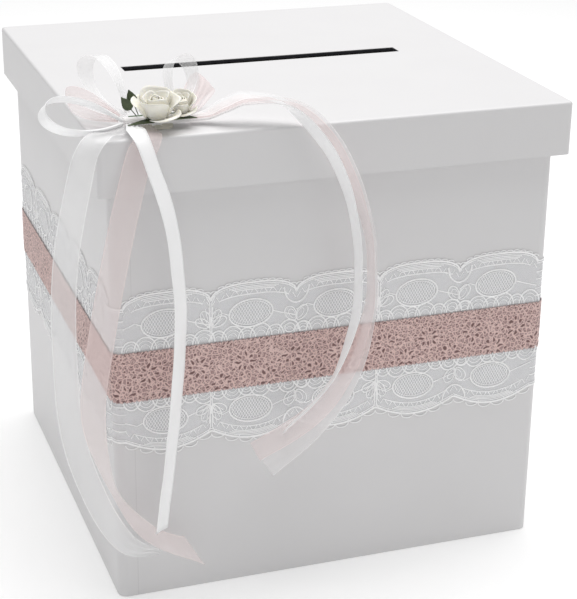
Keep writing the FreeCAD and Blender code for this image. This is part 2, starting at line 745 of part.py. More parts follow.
bow_loop(
    "satin_left_loop", "satin_width",
    (-GATHER_END - 0.9, -2.2, size("gather_middle") + 0.4),
    direction=(-0.97, -0.06, 0.22), length=38.5, spread=7.5, across=(-0.15, -0.77, 0.62),
)
bow_loop(
    "pink_left_loop", "pink_width",
    (-GATHER_END - 1.7, 1.7, size("gather_top") - 0.4),
    direction=(-0.7, 0.67, 0.24), length=27.8, spread=3.7, across=(0.73, -0.56, -0.39),
)
bow_loop(
    "organza_left_loop", "organza_width",
    (2.2 - GATHER_END, size("stem_back") - 1.1, size("gather_top") + 0.9),
    direction=(-0.35, 0.68, 0.64), length=33.4, spread=7.2, across=(0.9, 0.49, -0.32),
)
bow_loop(
    "organza_right_loop", "organza_width",
    (11.8, size("stem_back") + 0.9, size("gather_top") + 0.1),
    direction=(0.245, 0.553, 0.796), length=26.5, spread=6.3, across=(0.245, -0.955, 0.166),
)
bow_loop(
    "pink_right_loop", "pink_width",
    (GATHER_END + 1.3, 3.9, size("gather_middle") + 0.1),
    direction=(0.5, 0.79, 0.36), length=26, spread=5, across=(-0.7, 0.03, 0.71),
)


# Paper roses: a furled bud, three inner and five outer petals and a calyx
OUTER_PETALS = (5, 64, (0.25, 0.97, 0.76, 0.36, 0.8))
INNER_PETALS = (3, 104, (0.05, 0.8, 0.57, 0.2, 0.98))


def petal_ring(name, radius, count, sweep, curve):
    """Cupped petals round the rose's axis, each a thin arc turned through its share of the round.

    The curve gives the arc's centre, out and up, its radius, its foot and its rim, as shares of the rose.
    """
    centre_out, centre_up, bend, foot_out, rim_up = (f"{radius} * {share}" for share in curve)
    out, up, outer_bend, foot, rim = (share * size(radius) for share in curve)
    inner_bend = outer_bend - size("petal")
    body = doc.addObject("PartDesign::Body", name)
    sketch = new_sketch(body, f"{name}_outline", "XZ_Plane", "0")
    ends = []
    for bend_radius in (outer_bend, inner_bend):
        foot_angle = -math.degrees(math.acos((foot - out) / bend_radius))
        rim_angle = math.degrees(math.asin((rim - up) / bend_radius))
        sketch.addGeometry(arc((out, up), bend_radius, foot_angle, rim_angle), False)
        curve_edge = sketch.Geometry[-1]
        ends.append((curve_edge.StartPoint, curve_edge.EndPoint))
    sketch.addGeometry(Part.LineSegment(ends[0][0], ends[1][0]), False)
    sketch.addGeometry(Part.LineSegment(ends[0][1], ends[1][1]), False)
    for joint in ((0, 1, 2, 1), (1, 1, 2, 2), (0, 2, 3, 1), (1, 2, 3, 2), (0, 3, 1, 3)):
        sketch.addConstraint(Sketcher.Constraint("Coincident", *joint))
    sketch.addConstraint(Sketcher.Constraint("Vertical", 2))
    sketch.addConstraint(Sketcher.Constraint("Horizontal", 3))
    named(sketch, Sketcher.Constraint("DistanceX", -1, 1, 0, 3, out), "centre_out", centre_out)
    named(sketch, Sketcher.Constraint("DistanceY", -1, 1, 0, 3, up), "centre_up", centre_up)
    named(sketch, Sketcher.Constraint("Radius", 0, outer_bend), "bend", bend)
    named(sketch, Sketcher.Constraint("Radius", 1, inner_bend), "inner_bend", f"{bend} - petal")
    named(sketch, Sketcher.Constraint("DistanceX", -1, 1, 2, 1, foot), "foot_out", foot_out)
    named(sketch, Sketcher.Constraint("DistanceY", -1, 1, 3, 1, rim), "rim_up", rim_up)
    turned = body.newObject("PartDesign::Revolution", f"{name}_petal")
    turned.Profile = sketch
    turned.ReferenceAxis = (sketch, ["V_Axis"])
    turned.Angle = sweep
    doc.recompute()
    ring = body.newObject("PartDesign::PolarPattern", f"{name}_ring")
    ring.Originals = [turned]
    ring.Axis = (sketch, ["V_Axis"])
    ring.Angle = 360
    ring.Occurrences = count
    body.Tip = ring
    return body


def seat_rose(thing, place, axis, height="0"):
    """Sets a rose's piece on its axis, some way up from the calyx's foot."""
    lean = Vector(*axis).normalize()
    thing.Placement.Rotation = Rotation(Vector(0, 0, 1), lean)
    shifts = (lean.x, lean.y, lean.z)
    return at_bow(thing, *(f"{start} + ({height}) * {shift:.4f}" for start, shift in zip(place, shifts)))


def paper_rose(label, place, axis):
    """One rose: its pieces share the axis and stand a paper's width apart."""
    calyx = doc.addObject("Part::Cone", f"{label}_cup")
    bind(calyx, "Radius1", f"{label} * 0.1")
    bind(calyx, "Radius2", f"{label} * 0.3")
    bind(calyx, "Height", f"{label} * 0.19")
    subpart(f"{label}_calyx", seat_rose(calyx, place, axis))
    outer = petal_ring(f"{label}_outer", label, *OUTER_PETALS)
    subpart(f"{label}_outer_petals", seat_rose(outer, place, axis))
    inner = petal_ring(f"{label}_inner", label, *INNER_PETALS)
    subpart(f"{label}_inner_petals", seat_rose(inner, place, axis))
    bud = doc.addObject("Part::Ellipsoid", f"{label}_furl")
    bind(bud, "Radius1", f"{label} * 0.4")
    bind(bud, "Radius2", f"{label} * 0.3")
    bind(bud, "Radius3", f"{label} * 0.3")
    subpart(f"{label}_bud", seat_rose(bud, place, axis, f"{label} * 0.7"))


paper_rose("front_rose", ("-0.6", "-2.9", "gather_top + binding + 0.9"), (-0.1, -0.42, 0.9))
back_place = ("0.695 * (front_rose + back_rose)", "1.6", "gather_top + 1.2")
paper_rose("back_rose", back_place, (-0.35, -0.51, 0.9))


# Leaves: flat paper lenses round the roses
def leaf(label, length, place, direction, face):
    """A leaf from its foot, its tip's direction and the way that its face looks."""
    body = doc.addObject("PartDesign::Body", f"{label}_form")
    sketch = new_sketch(body, f"{label}_outline", "XY_Plane", "0")
    long, half = size(length), size("leaf_width") / 2
    bend = (long * long / 4 + half * half) / (2 * half)
    swing = math.degrees(math.asin(long / 2 / bend))
    sketch.addGeometry(arc((long / 2, half - bend), bend, 90 - swing, 90 + swing), False)
    sketch.addGeometry(arc((long / 2, bend - half), bend, 270 - swing, 270 + swing), False)
    sketch.addConstraint(Sketcher.Constraint("Coincident", 0, 2, 1, 1))
    sketch.addConstraint(Sketcher.Constraint("Coincident", 0, 1, 1, 2))
    sketch.addConstraint(Sketcher.Constraint("Coincident", 0, 2, -1, 1))
    sketch.addConstraint(Sketcher.Constraint("Equal", 0, 1))
    sketch.addConstraint(Sketcher.Constraint("PointOnObject", 0, 1, -1))
    radius = f"({length} * {length} / 4 + leaf_width * leaf_width / 4) / leaf_width"
    named(sketch, Sketcher.Constraint("Radius", 0, bend), "bend", radius)
    named(sketch, Sketcher.Constraint("DistanceX", 0, 2, 0, 1, long), "length", length)
    pad(body, f"{label}_pad", sketch, "leaf")
    along = Vector(*direction).normalize()
    across = Vector(*face).cross(along).normalize()
    body.Placement.Rotation = Rotation(along, across, along.cross(across), "XYZ")
    subpart(label, at_bow(body, *place))


left_foot = ("6.1 - gather_length / 2", "-1.4", "gather_top + 0.7")
leaf("left_leaf", "short_leaf", left_foot, (-0.6, -0.13, 0.79), (-0.3, -0.85, 0.2))
upper_foot = ("6.3 - gather_length / 2", "1.6", "gather_top + 0.6")
leaf("upper_leaf", "short_leaf", upper_foot, (-0.33, 0.05, 0.94), (-0.3, -0.95, 0))
front_foot = ("4", "-gather_width / 2 - binding - 1.6", "gather_middle + 1.1")
leaf("front_leaf", "long_leaf", front_foot, (-1, -0.18, 0), (0, -0.15, 0.99))
right_foot = ("5", "-gather_width / 2 - 1", "gather_middle + 1.1")
leaf("right_leaf", "side_leaf", right_foot, (1, -0.3, 0.06), (0, -0.15, 0.99))

# Check every object, then write one file for each piece
doc.recompute()
for thing in doc.Objects:
    failed = {"Invalid", "Error"} & set(thing.State)
    if failed:
        raise RuntimeError(f"{thing.Label} is {failed}")
os.makedirs("parts", exist_ok=True)
for piece in subparts:
    shape = piece.Shape
    if shape.isNull() or not shape.isValid() or not shape.Solids:
        raise RuntimeError(f"{piece.Label} has no valid solid")
    shape.exportStep(f"parts/{piece.Label}.step")
    print(piece.Label, len(shape.Solids), round(shape.Volume, 1))
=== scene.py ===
"""Wedding card box: the looks of a white lidded box with lace bands and a rose bow."""
import math

import bpy
from mathutils import Matrix, Vector


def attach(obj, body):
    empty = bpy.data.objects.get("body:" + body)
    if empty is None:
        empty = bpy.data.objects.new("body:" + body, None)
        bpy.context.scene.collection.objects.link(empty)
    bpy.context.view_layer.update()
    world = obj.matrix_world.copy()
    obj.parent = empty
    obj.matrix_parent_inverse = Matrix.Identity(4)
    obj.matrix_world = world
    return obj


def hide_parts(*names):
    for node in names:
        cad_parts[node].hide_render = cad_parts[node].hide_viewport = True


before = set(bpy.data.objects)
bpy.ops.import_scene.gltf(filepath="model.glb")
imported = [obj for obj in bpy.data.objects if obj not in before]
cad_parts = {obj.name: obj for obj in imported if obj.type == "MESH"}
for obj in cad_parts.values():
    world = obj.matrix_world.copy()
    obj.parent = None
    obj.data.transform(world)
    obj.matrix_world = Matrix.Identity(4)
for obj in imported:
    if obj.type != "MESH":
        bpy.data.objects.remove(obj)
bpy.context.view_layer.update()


# Base boards: four walls and a floor of grey pressed board, glued edge to edge into an open box.
# Folded strips of paper are glued in the inside corners. All of them keep their solids.
# A paint here blends two tones by a soft noise and takes a fine bump from a second one.
def new_material(name, rough, **sockets):
    """A material with its nodes, links and shader, whose sockets are named with underscores."""
    made = bpy.data.materials.new(name)
    made.use_nodes = True
    shader = made.node_tree.nodes["Principled BSDF"]
    shader.inputs["Roughness"].default_value = rough
    for socket, value in sockets.items():
        shader.inputs[socket.replace("_", " ")].default_value = value
    return made, made.node_tree.nodes, made.node_tree.links, shader


def mix_tones(nodes, links, factor, dark, light):
    """A colour between a dark and a light tone."""
    mix = nodes.new("ShaderNodeMix")
    mix.data_type = "RGBA"
    mix.inputs["A"].default_value = (*dark, 1)
    mix.inputs["B"].default_value = (*light, 1)
    links.new(factor, mix.inputs["Factor"])
    return mix.outputs["Result"]


def noise(nodes, links, coordinates, scale, detail=3):
    """A soft noise on the given coordinates."""
    texture = nodes.new("ShaderNodeTexNoise")
    texture.inputs["Scale"].default_value = scale
    texture.inputs["Detail"].default_value = detail
    links.new(coordinates, texture.inputs["Vector"])
    return texture.outputs["Fac"]


def bump(nodes, links, height, shader, strength, distance):
    """Gives a shader a fine relief from a height."""
    relief = nodes.new("ShaderNodeBump")
    relief.inputs["Strength"].default_value = strength
    relief.inputs["Distance"].default_value = distance
    links.new(height, relief.inputs["Height"])
    links.new(relief.outputs["Normal"], shader.inputs["Normal"])


def paint(name, dark, light, rough, scale=60, grain=1500, strength=0.15, distance=0.0002, **sockets):
    """A mottled finish: the size of its mottles, and the grain, strength and depth of its bump."""
    made, nodes, links, shader = new_material(name, rough, **sockets)
    place = nodes.new("ShaderNodeTexCoord").outputs["Object"]
    tone = mix_tones(nodes, links, noise(nodes, links, place, scale), dark, light)
    links.new(tone, shader.inputs["Base Color"])
    bump(nodes, links, noise(nodes, links, place, grain), shader, strength, distance)
    return made


def dress(material, *names):
    """Puts a material on pieces that keep their solids."""
    for name in names:
        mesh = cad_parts[name].data
        mesh.materials.clear()
        mesh.materials.append(material)


board = paint("board", (0.5, 0.48, 0.44), (0.6, 0.58, 0.54), 0.85, scale=300, grain=2500, strength=0.4)
inner_paper = paint("inner_paper", (0.78, 0.78, 0.77), (0.84, 0.84, 0.83), 0.6, scale=40)
SIDES = ("front", "back", "left", "right")
dress(board, "base_bottom_board", *(f"base_{side}_board" for side in SIDES))
dress(inner_paper, "base_corner_stays")


# Base paper: smooth white paper glued round the walls, turned in over their top and under the floor.
# Its end laps over its start in a faint upright line near the front left corner.
# Plain white sheets are glued on the floor inside and under the box.
def calculate(nodes, links, operation, *values):
    """A sum on numbers and on values from other nodes."""
    sum_node = nodes.new("ShaderNodeMath")
    sum_node.operation = operation
    for socket, value in zip(sum_node.inputs, values):
        if isinstance(value, (int, float)):
            socket.default_value = value
        else:
            links.new(value, socket)
    return sum_node.outputs["Value"]


white_paper = paint("white_paper", (0.725, 0.715, 0.72), (0.755, 0.748, 0.752), 0.42, scale=25)
LAP_X, LAP_HALF_WIDTH, FRONT_Y = -0.1045, 0.00022, -0.1135
LAP_SHADE = (0.68, 0.672, 0.676, 1)
wrap_paper = white_paper.copy()
nodes, links = wrap_paper.node_tree.nodes, wrap_paper.node_tree.links
split = nodes.new("ShaderNodeSeparateXYZ")
links.new(nodes["Texture Coordinate"].outputs["Object"], split.inputs["Vector"])
beside_lap = calculate(nodes, links, "SUBTRACT", split.outputs["X"], LAP_X)
from_lap = calculate(nodes, links, "ABSOLUTE", beside_lap)
at_lap = calculate(nodes, links, "LESS_THAN", from_lap, LAP_HALF_WIDTH)
on_front = calculate(nodes, links, "LESS_THAN", split.outputs["Y"], FRONT_Y)
lapped = nodes.new("ShaderNodeMix")
lapped.data_type = "RGBA"
shader = nodes["Principled BSDF"]
links.new(calculate(nodes, links, "MULTIPLY", at_lap, on_front), lapped.inputs["Factor"])
links.new(shader.inputs["Base Color"].links[0].from_socket, lapped.inputs["A"])
lapped.inputs["B"].default_value = LAP_SHADE
links.new(lapped.outputs["Result"], shader.inputs["Base Color"])
dress(wrap_paper, "base_wrap")
dress(inner_paper, "base_floor_liner", "base_under_sheet")

# Band tape: a pale adhesive strip stuck round the walls, which holds both laces.
# It keeps its solid and lies hidden under the white lace.
tape = paint("tape", (0.71, 0.705, 0.71), (0.745, 0.74, 0.745), 0.35)
dress(tape, "band_tape")

# White lace: a wide galloon of white thread, pressed on the tape right round the base.
# It is worked in flat repeats, which are wrapped round the walls and the rounded corners.
# Flat places are in millimetres: along a wall, out from its face and up.
MM = 0.001
WALL = 114.2
CORNER = 5
STRAIGHT = 2 * (WALL - CORNER)
BEND = CORNER * math.pi / 2
WALL_TURN = STRAIGHT + BEND
CORD_FLATNESS = 0.4


def wall_place(along, up, gap):
    """A place on the walls, from the distance round the box, the height and the gap to the face."""
    wall, rest = divmod(along, WALL_TURN)
    turn = max(rest - STRAIGHT, 0) / CORNER
    across = min(rest, STRAIGHT) - STRAIGHT / 2 + (CORNER + gap) * math.sin(turn)
    out = WALL - CORNER + (CORNER + gap) * math.cos(turn)
    place = Matrix.Rotation(wall * math.pi / 2, 3, "Z") @ Vector((across, -out, 0))
    return Vector((place.x, place.y, up)) * MM


def mesh_object(name, places, faces, material, smooth=True):
    """A new object from places and faces, with its material."""
    mesh = bpy.data.meshes.new(name)
    mesh.from_pydata(places, [], faces)
    mesh.materials.append(material)
    if smooth:
        mesh.shade_smooth()
    made = bpy.data.objects.new(name, mesh)
    bpy.context.collection.objects.link(made)
    return made


def grid(name, rows, material, uvs=None, closed=False):
    """A sheet from rows of places, with a UV for each place where one is given."""
    width = len(rows[0])
    places = [place for row in rows for place in row]
    faces = []
    for row in range(len(rows) - 1 + closed):
        for column in range(width - 1):
            here, ahead = row * width + column, (row + 1) % len(rows) * width + column
            faces.append((here, here + 1, ahead + 1, ahead))
    made = mesh_object(name, places, faces, material)
    if uvs:
        flat = [uv for row in uvs for uv in row]
        layer = made.data.uv_layers.new(name="cloth")
        for loop in made.data.loops:
            layer.data[loop.index].uv = flat[loop.vertex_index]
    return made


def tubes(name, lines, material, sides=6):
    """Flattened cords along lines, each given as its places, its half width and whether it closes."""
    places, faces = [], []
    for line, radius, closed in lines:
        count = len(line)
        first = len(places)
        for index, place in enumerate(line):
            ahead = line[(index + 1) % count] if closed else line[min(index + 1, count - 1)]
            behind = line[index - 1] if closed else line[max(index - 1, 0)]
            along = (ahead - behind).normalized()
            side = along.cross(Vector((0, 1, 0)))
            side = side.normalized() if side.length > 1e-6 else Vector((1, 0, 0))
            lift = along.cross(side)
            for step in range(sides):
                angle = 2 * math.pi * step / sides
                out = side * math.cos(angle) + lift * (CORD_FLATNESS * math.sin(angle))
                places.append(place + out * radius)
        for index in range(count - 1 + closed):
            for step in range(sides):
                here, beside = first + index * sides, (step + 1) % sides
                ahead = first + (index + 1) % count * sides
                faces.append((here + step, here + beside, ahead + beside, ahead + step))
    return mesh_object(name, places, faces, material)


def repeat_on(name, unit, places, material):
    """Copies a unit to each place and turn with Geometry Nodes, and returns them as one mesh."""
    spots = bpy.data.meshes.new(f"{name}_spots")
    spots.from_pydata([place for place, _ in places], [], [])
    turns = spots.attributes.new("turn", "FLOAT", "POINT")
    for index, (_, turn) in enumerate(places):
        turns.data[index].value = turn
    made = bpy.data.objects.new(name, spots)
    bpy.context.collection.objects.link(made)
    tree = bpy.data.node_groups.new(f"{name}_repeat", "GeometryNodeTree")
    tree.interface.new_socket("Places", in_out="INPUT", socket_type="NodeSocketGeometry")
    unit_socket = tree.interface.new_socket("Unit", in_out="INPUT", socket_type="NodeSocketObject")
    paint_socket = tree.interface.new_socket("Thread", in_out="INPUT", socket_type="NodeSocketMaterial")
    tree.interface.new_socket("Repeats", in_out="OUTPUT", socket_type="NodeSocketGeometry")
    entry = tree.nodes.new("NodeGroupInput")
    info = tree.nodes.new("GeometryNodeObjectInfo")
    turn = tree.nodes.new("GeometryNodeInputNamedAttribute")
    turn.inputs["Name"].default_value = "turn"
    angles = tree.nodes.new("ShaderNodeCombineXYZ")
    copies = tree.nodes.new("GeometryNodeInstanceOnPoints")
    real = tree.nodes.new("GeometryNodeRealizeInstances")
    colour = tree.nodes.new("GeometryNodeSetMaterial")
    leave = tree.nodes.new("NodeGroupOutput")
    links = tree.links
    links.new(entry.outputs["Places"], copies.inputs["Points"])
    links.new(entry.outputs["Unit"], info.inputs["Object"])
    links.new(info.outputs["Geometry"], copies.inputs["Instance"])
    links.new(turn.outputs["Attribute"], angles.inputs["Z"])
    links.new(angles.outputs["Vector"], copies.inputs["Rotation"])
    links.new(copies.outputs["Instances"], real.inputs["Geometry"])
    links.new(real.outputs["Geometry"], colour.inputs["Geometry"])
    links.new(entry.outputs["Thread"], colour.inputs["Material"])
    links.new(colour.outputs["Geometry"], leave.inputs["Repeats"])
    modifier = made.modifiers.new("repeat", "NODES")
    modifier.node_group = tree
    modifier[unit_socket.identifier] = unit
    modifier[paint_socket.identifier] = material
    bpy.context.view_layer.update()
    baked = bpy.data.meshes.new_from_object(made.evaluated_get(bpy.context.evaluated_depsgraph_get()))
    made.modifiers.remove(modifier)
    made.data = baked
    bpy.data.objects.remove(unit)
    return made


def wall_spots(alongs, up, gap):
    """Places along each of the four walls, with the turn that faces a unit outwards there."""
    spots = []
    for wall in range(4):
        turn = wall * math.pi / 2
        for along in alongs:
            spots.append((Matrix.Rotation(turn, 3, "Z") @ Vector((along, -WALL - gap, up)) * MM, turn))
    return spots


def flat_line(points, out=0.0):
    """A cord's line from flat points, a little out from the net."""
    return [Vector((x, -out, z)) * MM for x, z in points]


def oval(x, z, half_x, half_z, turn=0.0, steps=20):
    """The points of an oval, turned round its middle."""
    points = []
    for step in range(steps):
        angle = 2 * math.pi * step / steps
        across, up = half_x * math.cos(angle), half_z * math.sin(angle)
        points.append((
            x + across * math.cos(turn) - up * math.sin(turn),
            z + across * math.sin(turn) + up * math.cos(turn),
        ))
    return points


# White lace net: the lace's ground, a sheer net of slanted strands with scalloped edges.
# It is one sheet round the box. Two slanted waves on its own UV map are its strands.
LACE_MIDDLE, LACE_HALF, RISE, SCALLOPS = 122.5, 36, 6.5, 5
PITCH = STRAIGHT / SCALLOPS


def scallop(x, up):
    """How far a scallop stands out past its dips: broad above, and round with wide dips below."""
    part = min(abs(2 * x / PITCH), 1)
    return RISE * ((1 - part ** 3) ** 0.6 if up > 0 else (1 - part ** 2) ** 1.1)


def edge_height(along, up):
    """How far the lace reaches up or down from its middle at a place round the box."""
    rest = along % WALL_TURN
    if rest > STRAIGHT:
        return LACE_HALF
    return LACE_HALF + scallop(rest % PITCH - PITCH / 2, up)


NET_STRANDS = 330
# The net's faint emission is painted light: a glow that stands in for light shining through the thin thread.
net, nodes, links, shader = new_material("lace_net", 0.8, Sheen_Weight=0.2, Emission_Strength=0.03)
shader.inputs["Base Color"].default_value = (0.93, 0.94, 0.96, 1)
cloth = nodes.new("ShaderNodeUVMap")
cloth.uv_map = "cloth"
strands = 0
for tilt in (45, -45):
    turned = nodes.new("ShaderNodeMapping")
    turned.inputs["Rotation"].default_value[2] = math.radians(tilt)
    links.new(cloth.outputs["UV"], turned.inputs["Vector"])
    wave = nodes.new("ShaderNodeTexWave")
    wave.inputs["Scale"].default_value = NET_STRANDS
    links.new(turned.outputs["Vector"], wave.inputs["Vector"])
    strands = calculate(nodes, links, "MAXIMUM", strands, wave.outputs["Fac"])
cover = nodes.new("ShaderNodeMapRange")
for socket, value in (("From Min", 0.45), ("From Max", 0.95), ("To Min", 0.15), ("To Max", 0.62)):
    cover.inputs[socket].default_value = value
links.new(strands, cover.inputs["Value"])
links.new(cover.outputs["Result"], shader.inputs["Alpha"])

NET_COLUMNS, NET_ROWS, NET_GAP, NET_INSET = 640, 16, 0.2, 0.6
rows, uvs = [], []
for column in range(NET_COLUMNS):
    along = 4 * WALL_TURN * column / NET_COLUMNS
    top, bottom = edge_height(along, 1) - NET_INSET, NET_INSET - edge_height(along, -1)
    heights = [LACE_MIDDLE + bottom + (top - bottom) * row / NET_ROWS for row in range(NET_ROWS + 1)]
    rows.append([wall_place(along, height, NET_GAP) for height in heights])
    uvs.append([(along * MM, height * MM) for height in heights])
lace_net = grid("white_lace_net", rows, net, uvs, closed=True)
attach(lace_net, "base")
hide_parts("white_lace_band")


# White lace cords: the borders along both edges, and the ovals, stalks and petals between them.
# Each is a flattened thread worked on the net, made for one scallop and repeated along the walls.
def edge_line(up, inset, low, high, steps, out=0.0):
    """A line that follows a scallop's edge at a distance inside it."""
    points = []
    for step in range(steps + 1):
        x = low + (high - low) * step / steps
        points.append((x, up * (LACE_HALF + scallop(x, up) - inset)))
    return flat_line(points, out)


def leaf_loop(x, z, length, width, angle, steps=16):
    """A pointed loop from its foot, for the small worked leaves."""
    points = []
    for step in range(steps):
        turn = 2 * math.pi * step / steps
        along = length * (1 - math.cos(turn)) / 2
        across = width / 2 * math.sin(turn) * (0.6 + 0.4 * math.sin(turn / 2))
        points.append((
            x + along * math.cos(angle) - across * math.sin(angle),
            z + along * math.sin(angle) + across * math.cos(angle),
        ))
    return points


def arch(x, foot, half, height, up, steps=10):
    """A half round standing on a line, for picots and the petals beside the rose lace."""
    angles = [math.pi * step / steps for step in range(steps + 1)]
    return [(x + half * math.cos(a), up * (foot + height * math.sin(a))) for a in angles]


# The thread's small emission is painted light: a glow that brightens the cords as if light shone through
# them.
white_thread = paint(
    "white_thread", (0.94, 0.94, 0.945), (0.98, 0.98, 0.98), 0.8, 900, 4000, 0.2,
    Sheen_Weight=0.3, Emission_Strength=0.06,
)
HALF_PITCH = PITCH / 2
HAIR, FINE, PLAIN, STOUT, BOLD = 0.11 * MM, 0.17 * MM, 0.3 * MM, 0.42 * MM, 0.5 * MM
PETAL_CORD, PETAL_FOOT = 0.38 * MM, 12.6
CORD_SIDES, CORD_GAP = 5, 0.27
BARS, BAND_PETALS = 18, 6
OVAL_X, OVAL_Z, OVAL_HALF_X, OVAL_HALF_Z, OVAL_LEAN = -1.5, 25.6, 11.2, 7.2, 0.06
MESH_PITCH, MESH_HALF_X, MESH_HALF_Z = 1.5, 9.8, 5.8
borders, figures = [], []
for up in (1, -1):
    borders.append((edge_line(up, 1, -HALF_PITCH, HALF_PITCH, 40, 0.15), BOLD, False))
    borders.append((edge_line(up, 2.1, -HALF_PITCH, HALF_PITCH, 40), PLAIN, False))
    borders.append((edge_line(up, 7, -HALF_PITCH * 0.8, HALF_PITCH * 0.8, 30), PLAIN, False))
    for inset in (3, 3.8, 4.6):
        borders.append((edge_line(up, inset, inset * 1.5 - 17, 17 - inset * 1.5, 20, 0.05), PLAIN, False))
    bumps = 12 if up > 0 else 6
    for index in range(bumps):
        x = (index + 0.5) * PITCH / bumps - HALF_PITCH
        foot = LACE_HALF + scallop(x, up) - 1
        borders.append((flat_line(arch(x, foot, HALF_PITCH / bumps, 15 / bumps, up), 0.1), PLAIN, False))
    for index in range(BARS):
        x = (index + 0.5) * PITCH / BARS - HALF_PITCH
        top = LACE_HALF + scallop(x, up)
        slant = 0.8 if index % 2 else -0.8
        borders.append((flat_line([(x - slant, up * (top - 4.4)), (x + slant, up * (top - 7))]), FINE, False))
    middle = up * OVAL_Z
    rim = oval(OVAL_X, middle, OVAL_HALF_X, OVAL_HALF_Z, up * OVAL_LEAN, 28)
    inner_rim = oval(OVAL_X, middle, MESH_HALF_X, 6, up * OVAL_LEAN, 24)
    figures.append((flat_line(rim, 0.15), STOUT, True))
    figures.append((flat_line(inner_rim, 0.05), FINE, True))
    right_stalk = [(9.4, middle), (14, middle - up * 1.6), (HALF_PITCH, middle - up * 4)]
    left_stalk = [(-12.5, middle), (-16, middle + up * 1.4), (-HALF_PITCH, middle - up)]
    for stalk in (right_stalk, left_stalk):
        figures.append((flat_line(stalk, 0.1), PLAIN, False))
    for index in range(-6, 7):
        x = index * MESH_PITCH + OVAL_X
        reach = MESH_HALF_Z * math.sqrt(max(1 - (index * MESH_PITCH / MESH_HALF_X) ** 2, 0))
        for lean in (-0.6, 0.6):
            thread = [(x - reach * lean, middle - reach), (x + reach * lean, middle + reach)]
            figures.append((flat_line(thread), HAIR, False))
    for index in range(BAND_PETALS):
        x = (index + 0.5) * PITCH / BAND_PETALS - HALF_PITCH
        wide = 5.6 if index % 2 else 4.4
        for share, radius in ((1, PETAL_CORD), (0.72, FINE), (0.45, FINE)):
            half_round = arch(x, PETAL_FOOT, wide * share, 1.25 * wide * share, up, 14)
            figures.append((flat_line(half_round, 0.12 if share == 1 else 0), radius, False))
middles = [(index - (SCALLOPS - 1) / 2) * PITCH for index in range(SCALLOPS)]
lace_pieces = []
for name, lines in (("borders", borders), ("figures", figures)):
    unit = tubes(f"{name}_unit", lines, white_thread, CORD_SIDES)
    spots = wall_spots(middles, LACE_MIDDLE, CORD_GAP)
    lace_pieces.append(repeat_on(f"white_lace_{name}", unit, spots, white_thread))

# White lace dips: the figures where two scallops meet, also thread worked on the net.
# By turns they are a sharp fold with two fans below it, and a heart-shaped cord with loops.
DIP_GAP = 0.29
fold, heart = [], []
for up in (1, -1):
    for side in (-1, 1):
        crease = [(side * 2.2, up * 36.5), (side * 0.5, up * 33), (side * 0.4, up * 13)]
        fold.append((flat_line(crease), PLAIN, False))
        for reach, lift in ((9, 1.15), (8, 0.5)):
            fan = leaf_loop(side * 0.6, up * 21, reach, 5, up * (math.pi - lift if side < 0 else lift))
            fold.append((flat_line(fan, 0.15), PLAIN, True))
        for index in range(4):
            top = (side * (1 + 1.7 * index), up * (31 - 0.7 * index * index))
            fold.append((flat_line([(side * 0.6, up * 20), top]), FINE, False))
        lean = up * (math.pi / 2 - side * 0.5)
        heart.append((flat_line(leaf_loop(side * 0.8, up * 19, 8.5, 6, lean), 0.15), PLAIN, True))
        heart.append((flat_line(leaf_loop(side * 0.8, up * 20, 5.5, 3.2, lean)), FINE, True))
        heart.append((flat_line(oval(side * 3.4, up * 15.4, 2.6, 2.4), 0.15), PLAIN, True))
    heart.append((flat_line(arch(0, -37, 6.4, 8.5, -up, 14), 0.2), STOUT, False))
for name, motif, dips in (("fold", fold, (-1.5, 0.5)), ("heart", heart, (-0.5, 1.5))):
    unit = tubes(f"{name}_unit", motif, white_thread, CORD_SIDES)
    spots = wall_spots([dip * PITCH for dip in dips], LACE_MIDDLE, DIP_GAP)
    lace_pieces.append(repeat_on(f"white_lace_{name}s", unit, spots, white_thread))

# White lace corners: the border's threads carried round the four rounded corners of the box.
# They join the repeats of two walls and lie a little further out than the net.
CORNER_GAP, CORNER_STEPS, OVERLAP = 0.42, 8, 0.5
corner_cords = []
for height, radius in ((35, BOLD), (33.9, PLAIN), (29, PLAIN), (25, FINE), (20, FINE), (16, PLAIN)):
    for up in (-1, 1):
        for wall in range(4):
            first = wall * WALL_TURN + STRAIGHT - OVERLAP
            spots = [first + (BEND + 2 * OVERLAP) * step / CORNER_STEPS for step in range(CORNER_STEPS + 1)]
            line = [wall_place(spot, LACE_MIDDLE + up * height, CORNER_GAP) for spot in spots]
            corner_cords.append((line, radius, False))
lace_pieces.append(tubes("white_lace_corners", corner_cords, white_thread))
for piece in lace_pieces:
    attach(piece, "base")

# Rose lace: a narrow band of dusty rose crochet, stuck right round the box over the white lace.
# It has daisies between rows of eyelets, and small picots along its edges.
# One sheet rises to the threads and sinks to the holes; it is not cut through, and a vertex value colours the
# holes dark as painted shade.
ROSE_MIDDLE, ROSE_HALF, DAISIES = 121.8, 13.25, 37
ROSE_PITCH = 4 * WALL_TURN / DAISIES
EYELET = ROSE_PITCH / 12


def hole(distance):
    """Nought in a hole and one on the thread, from a distance that is one at the hole's rim."""
    part = min(max((distance - 0.4) / 0.9, 0), 1)
    return part * part * (3 - 2 * part)


def daisy(x, z):
    """Eight oval holes round a small eye, in a ring of sixteen smaller holes."""
    out, turn = math.hypot(x, z), math.atan2(z, x)
    spoke = (turn / (math.pi / 4) + 0.5) % 1 - 0.5
    petal = math.hypot((out - 4) / 1.9, out * math.sin(spoke * math.pi / 4) / 0.95)
    bead = (turn / (math.pi / 8)) % 1 - 0.5
    ring = math.hypot((out - 7.4) / 1, out * math.sin(bead * math.pi / 8) / 0.8)
    return min(hole(petal), hole(ring), hole(out / 0.7))


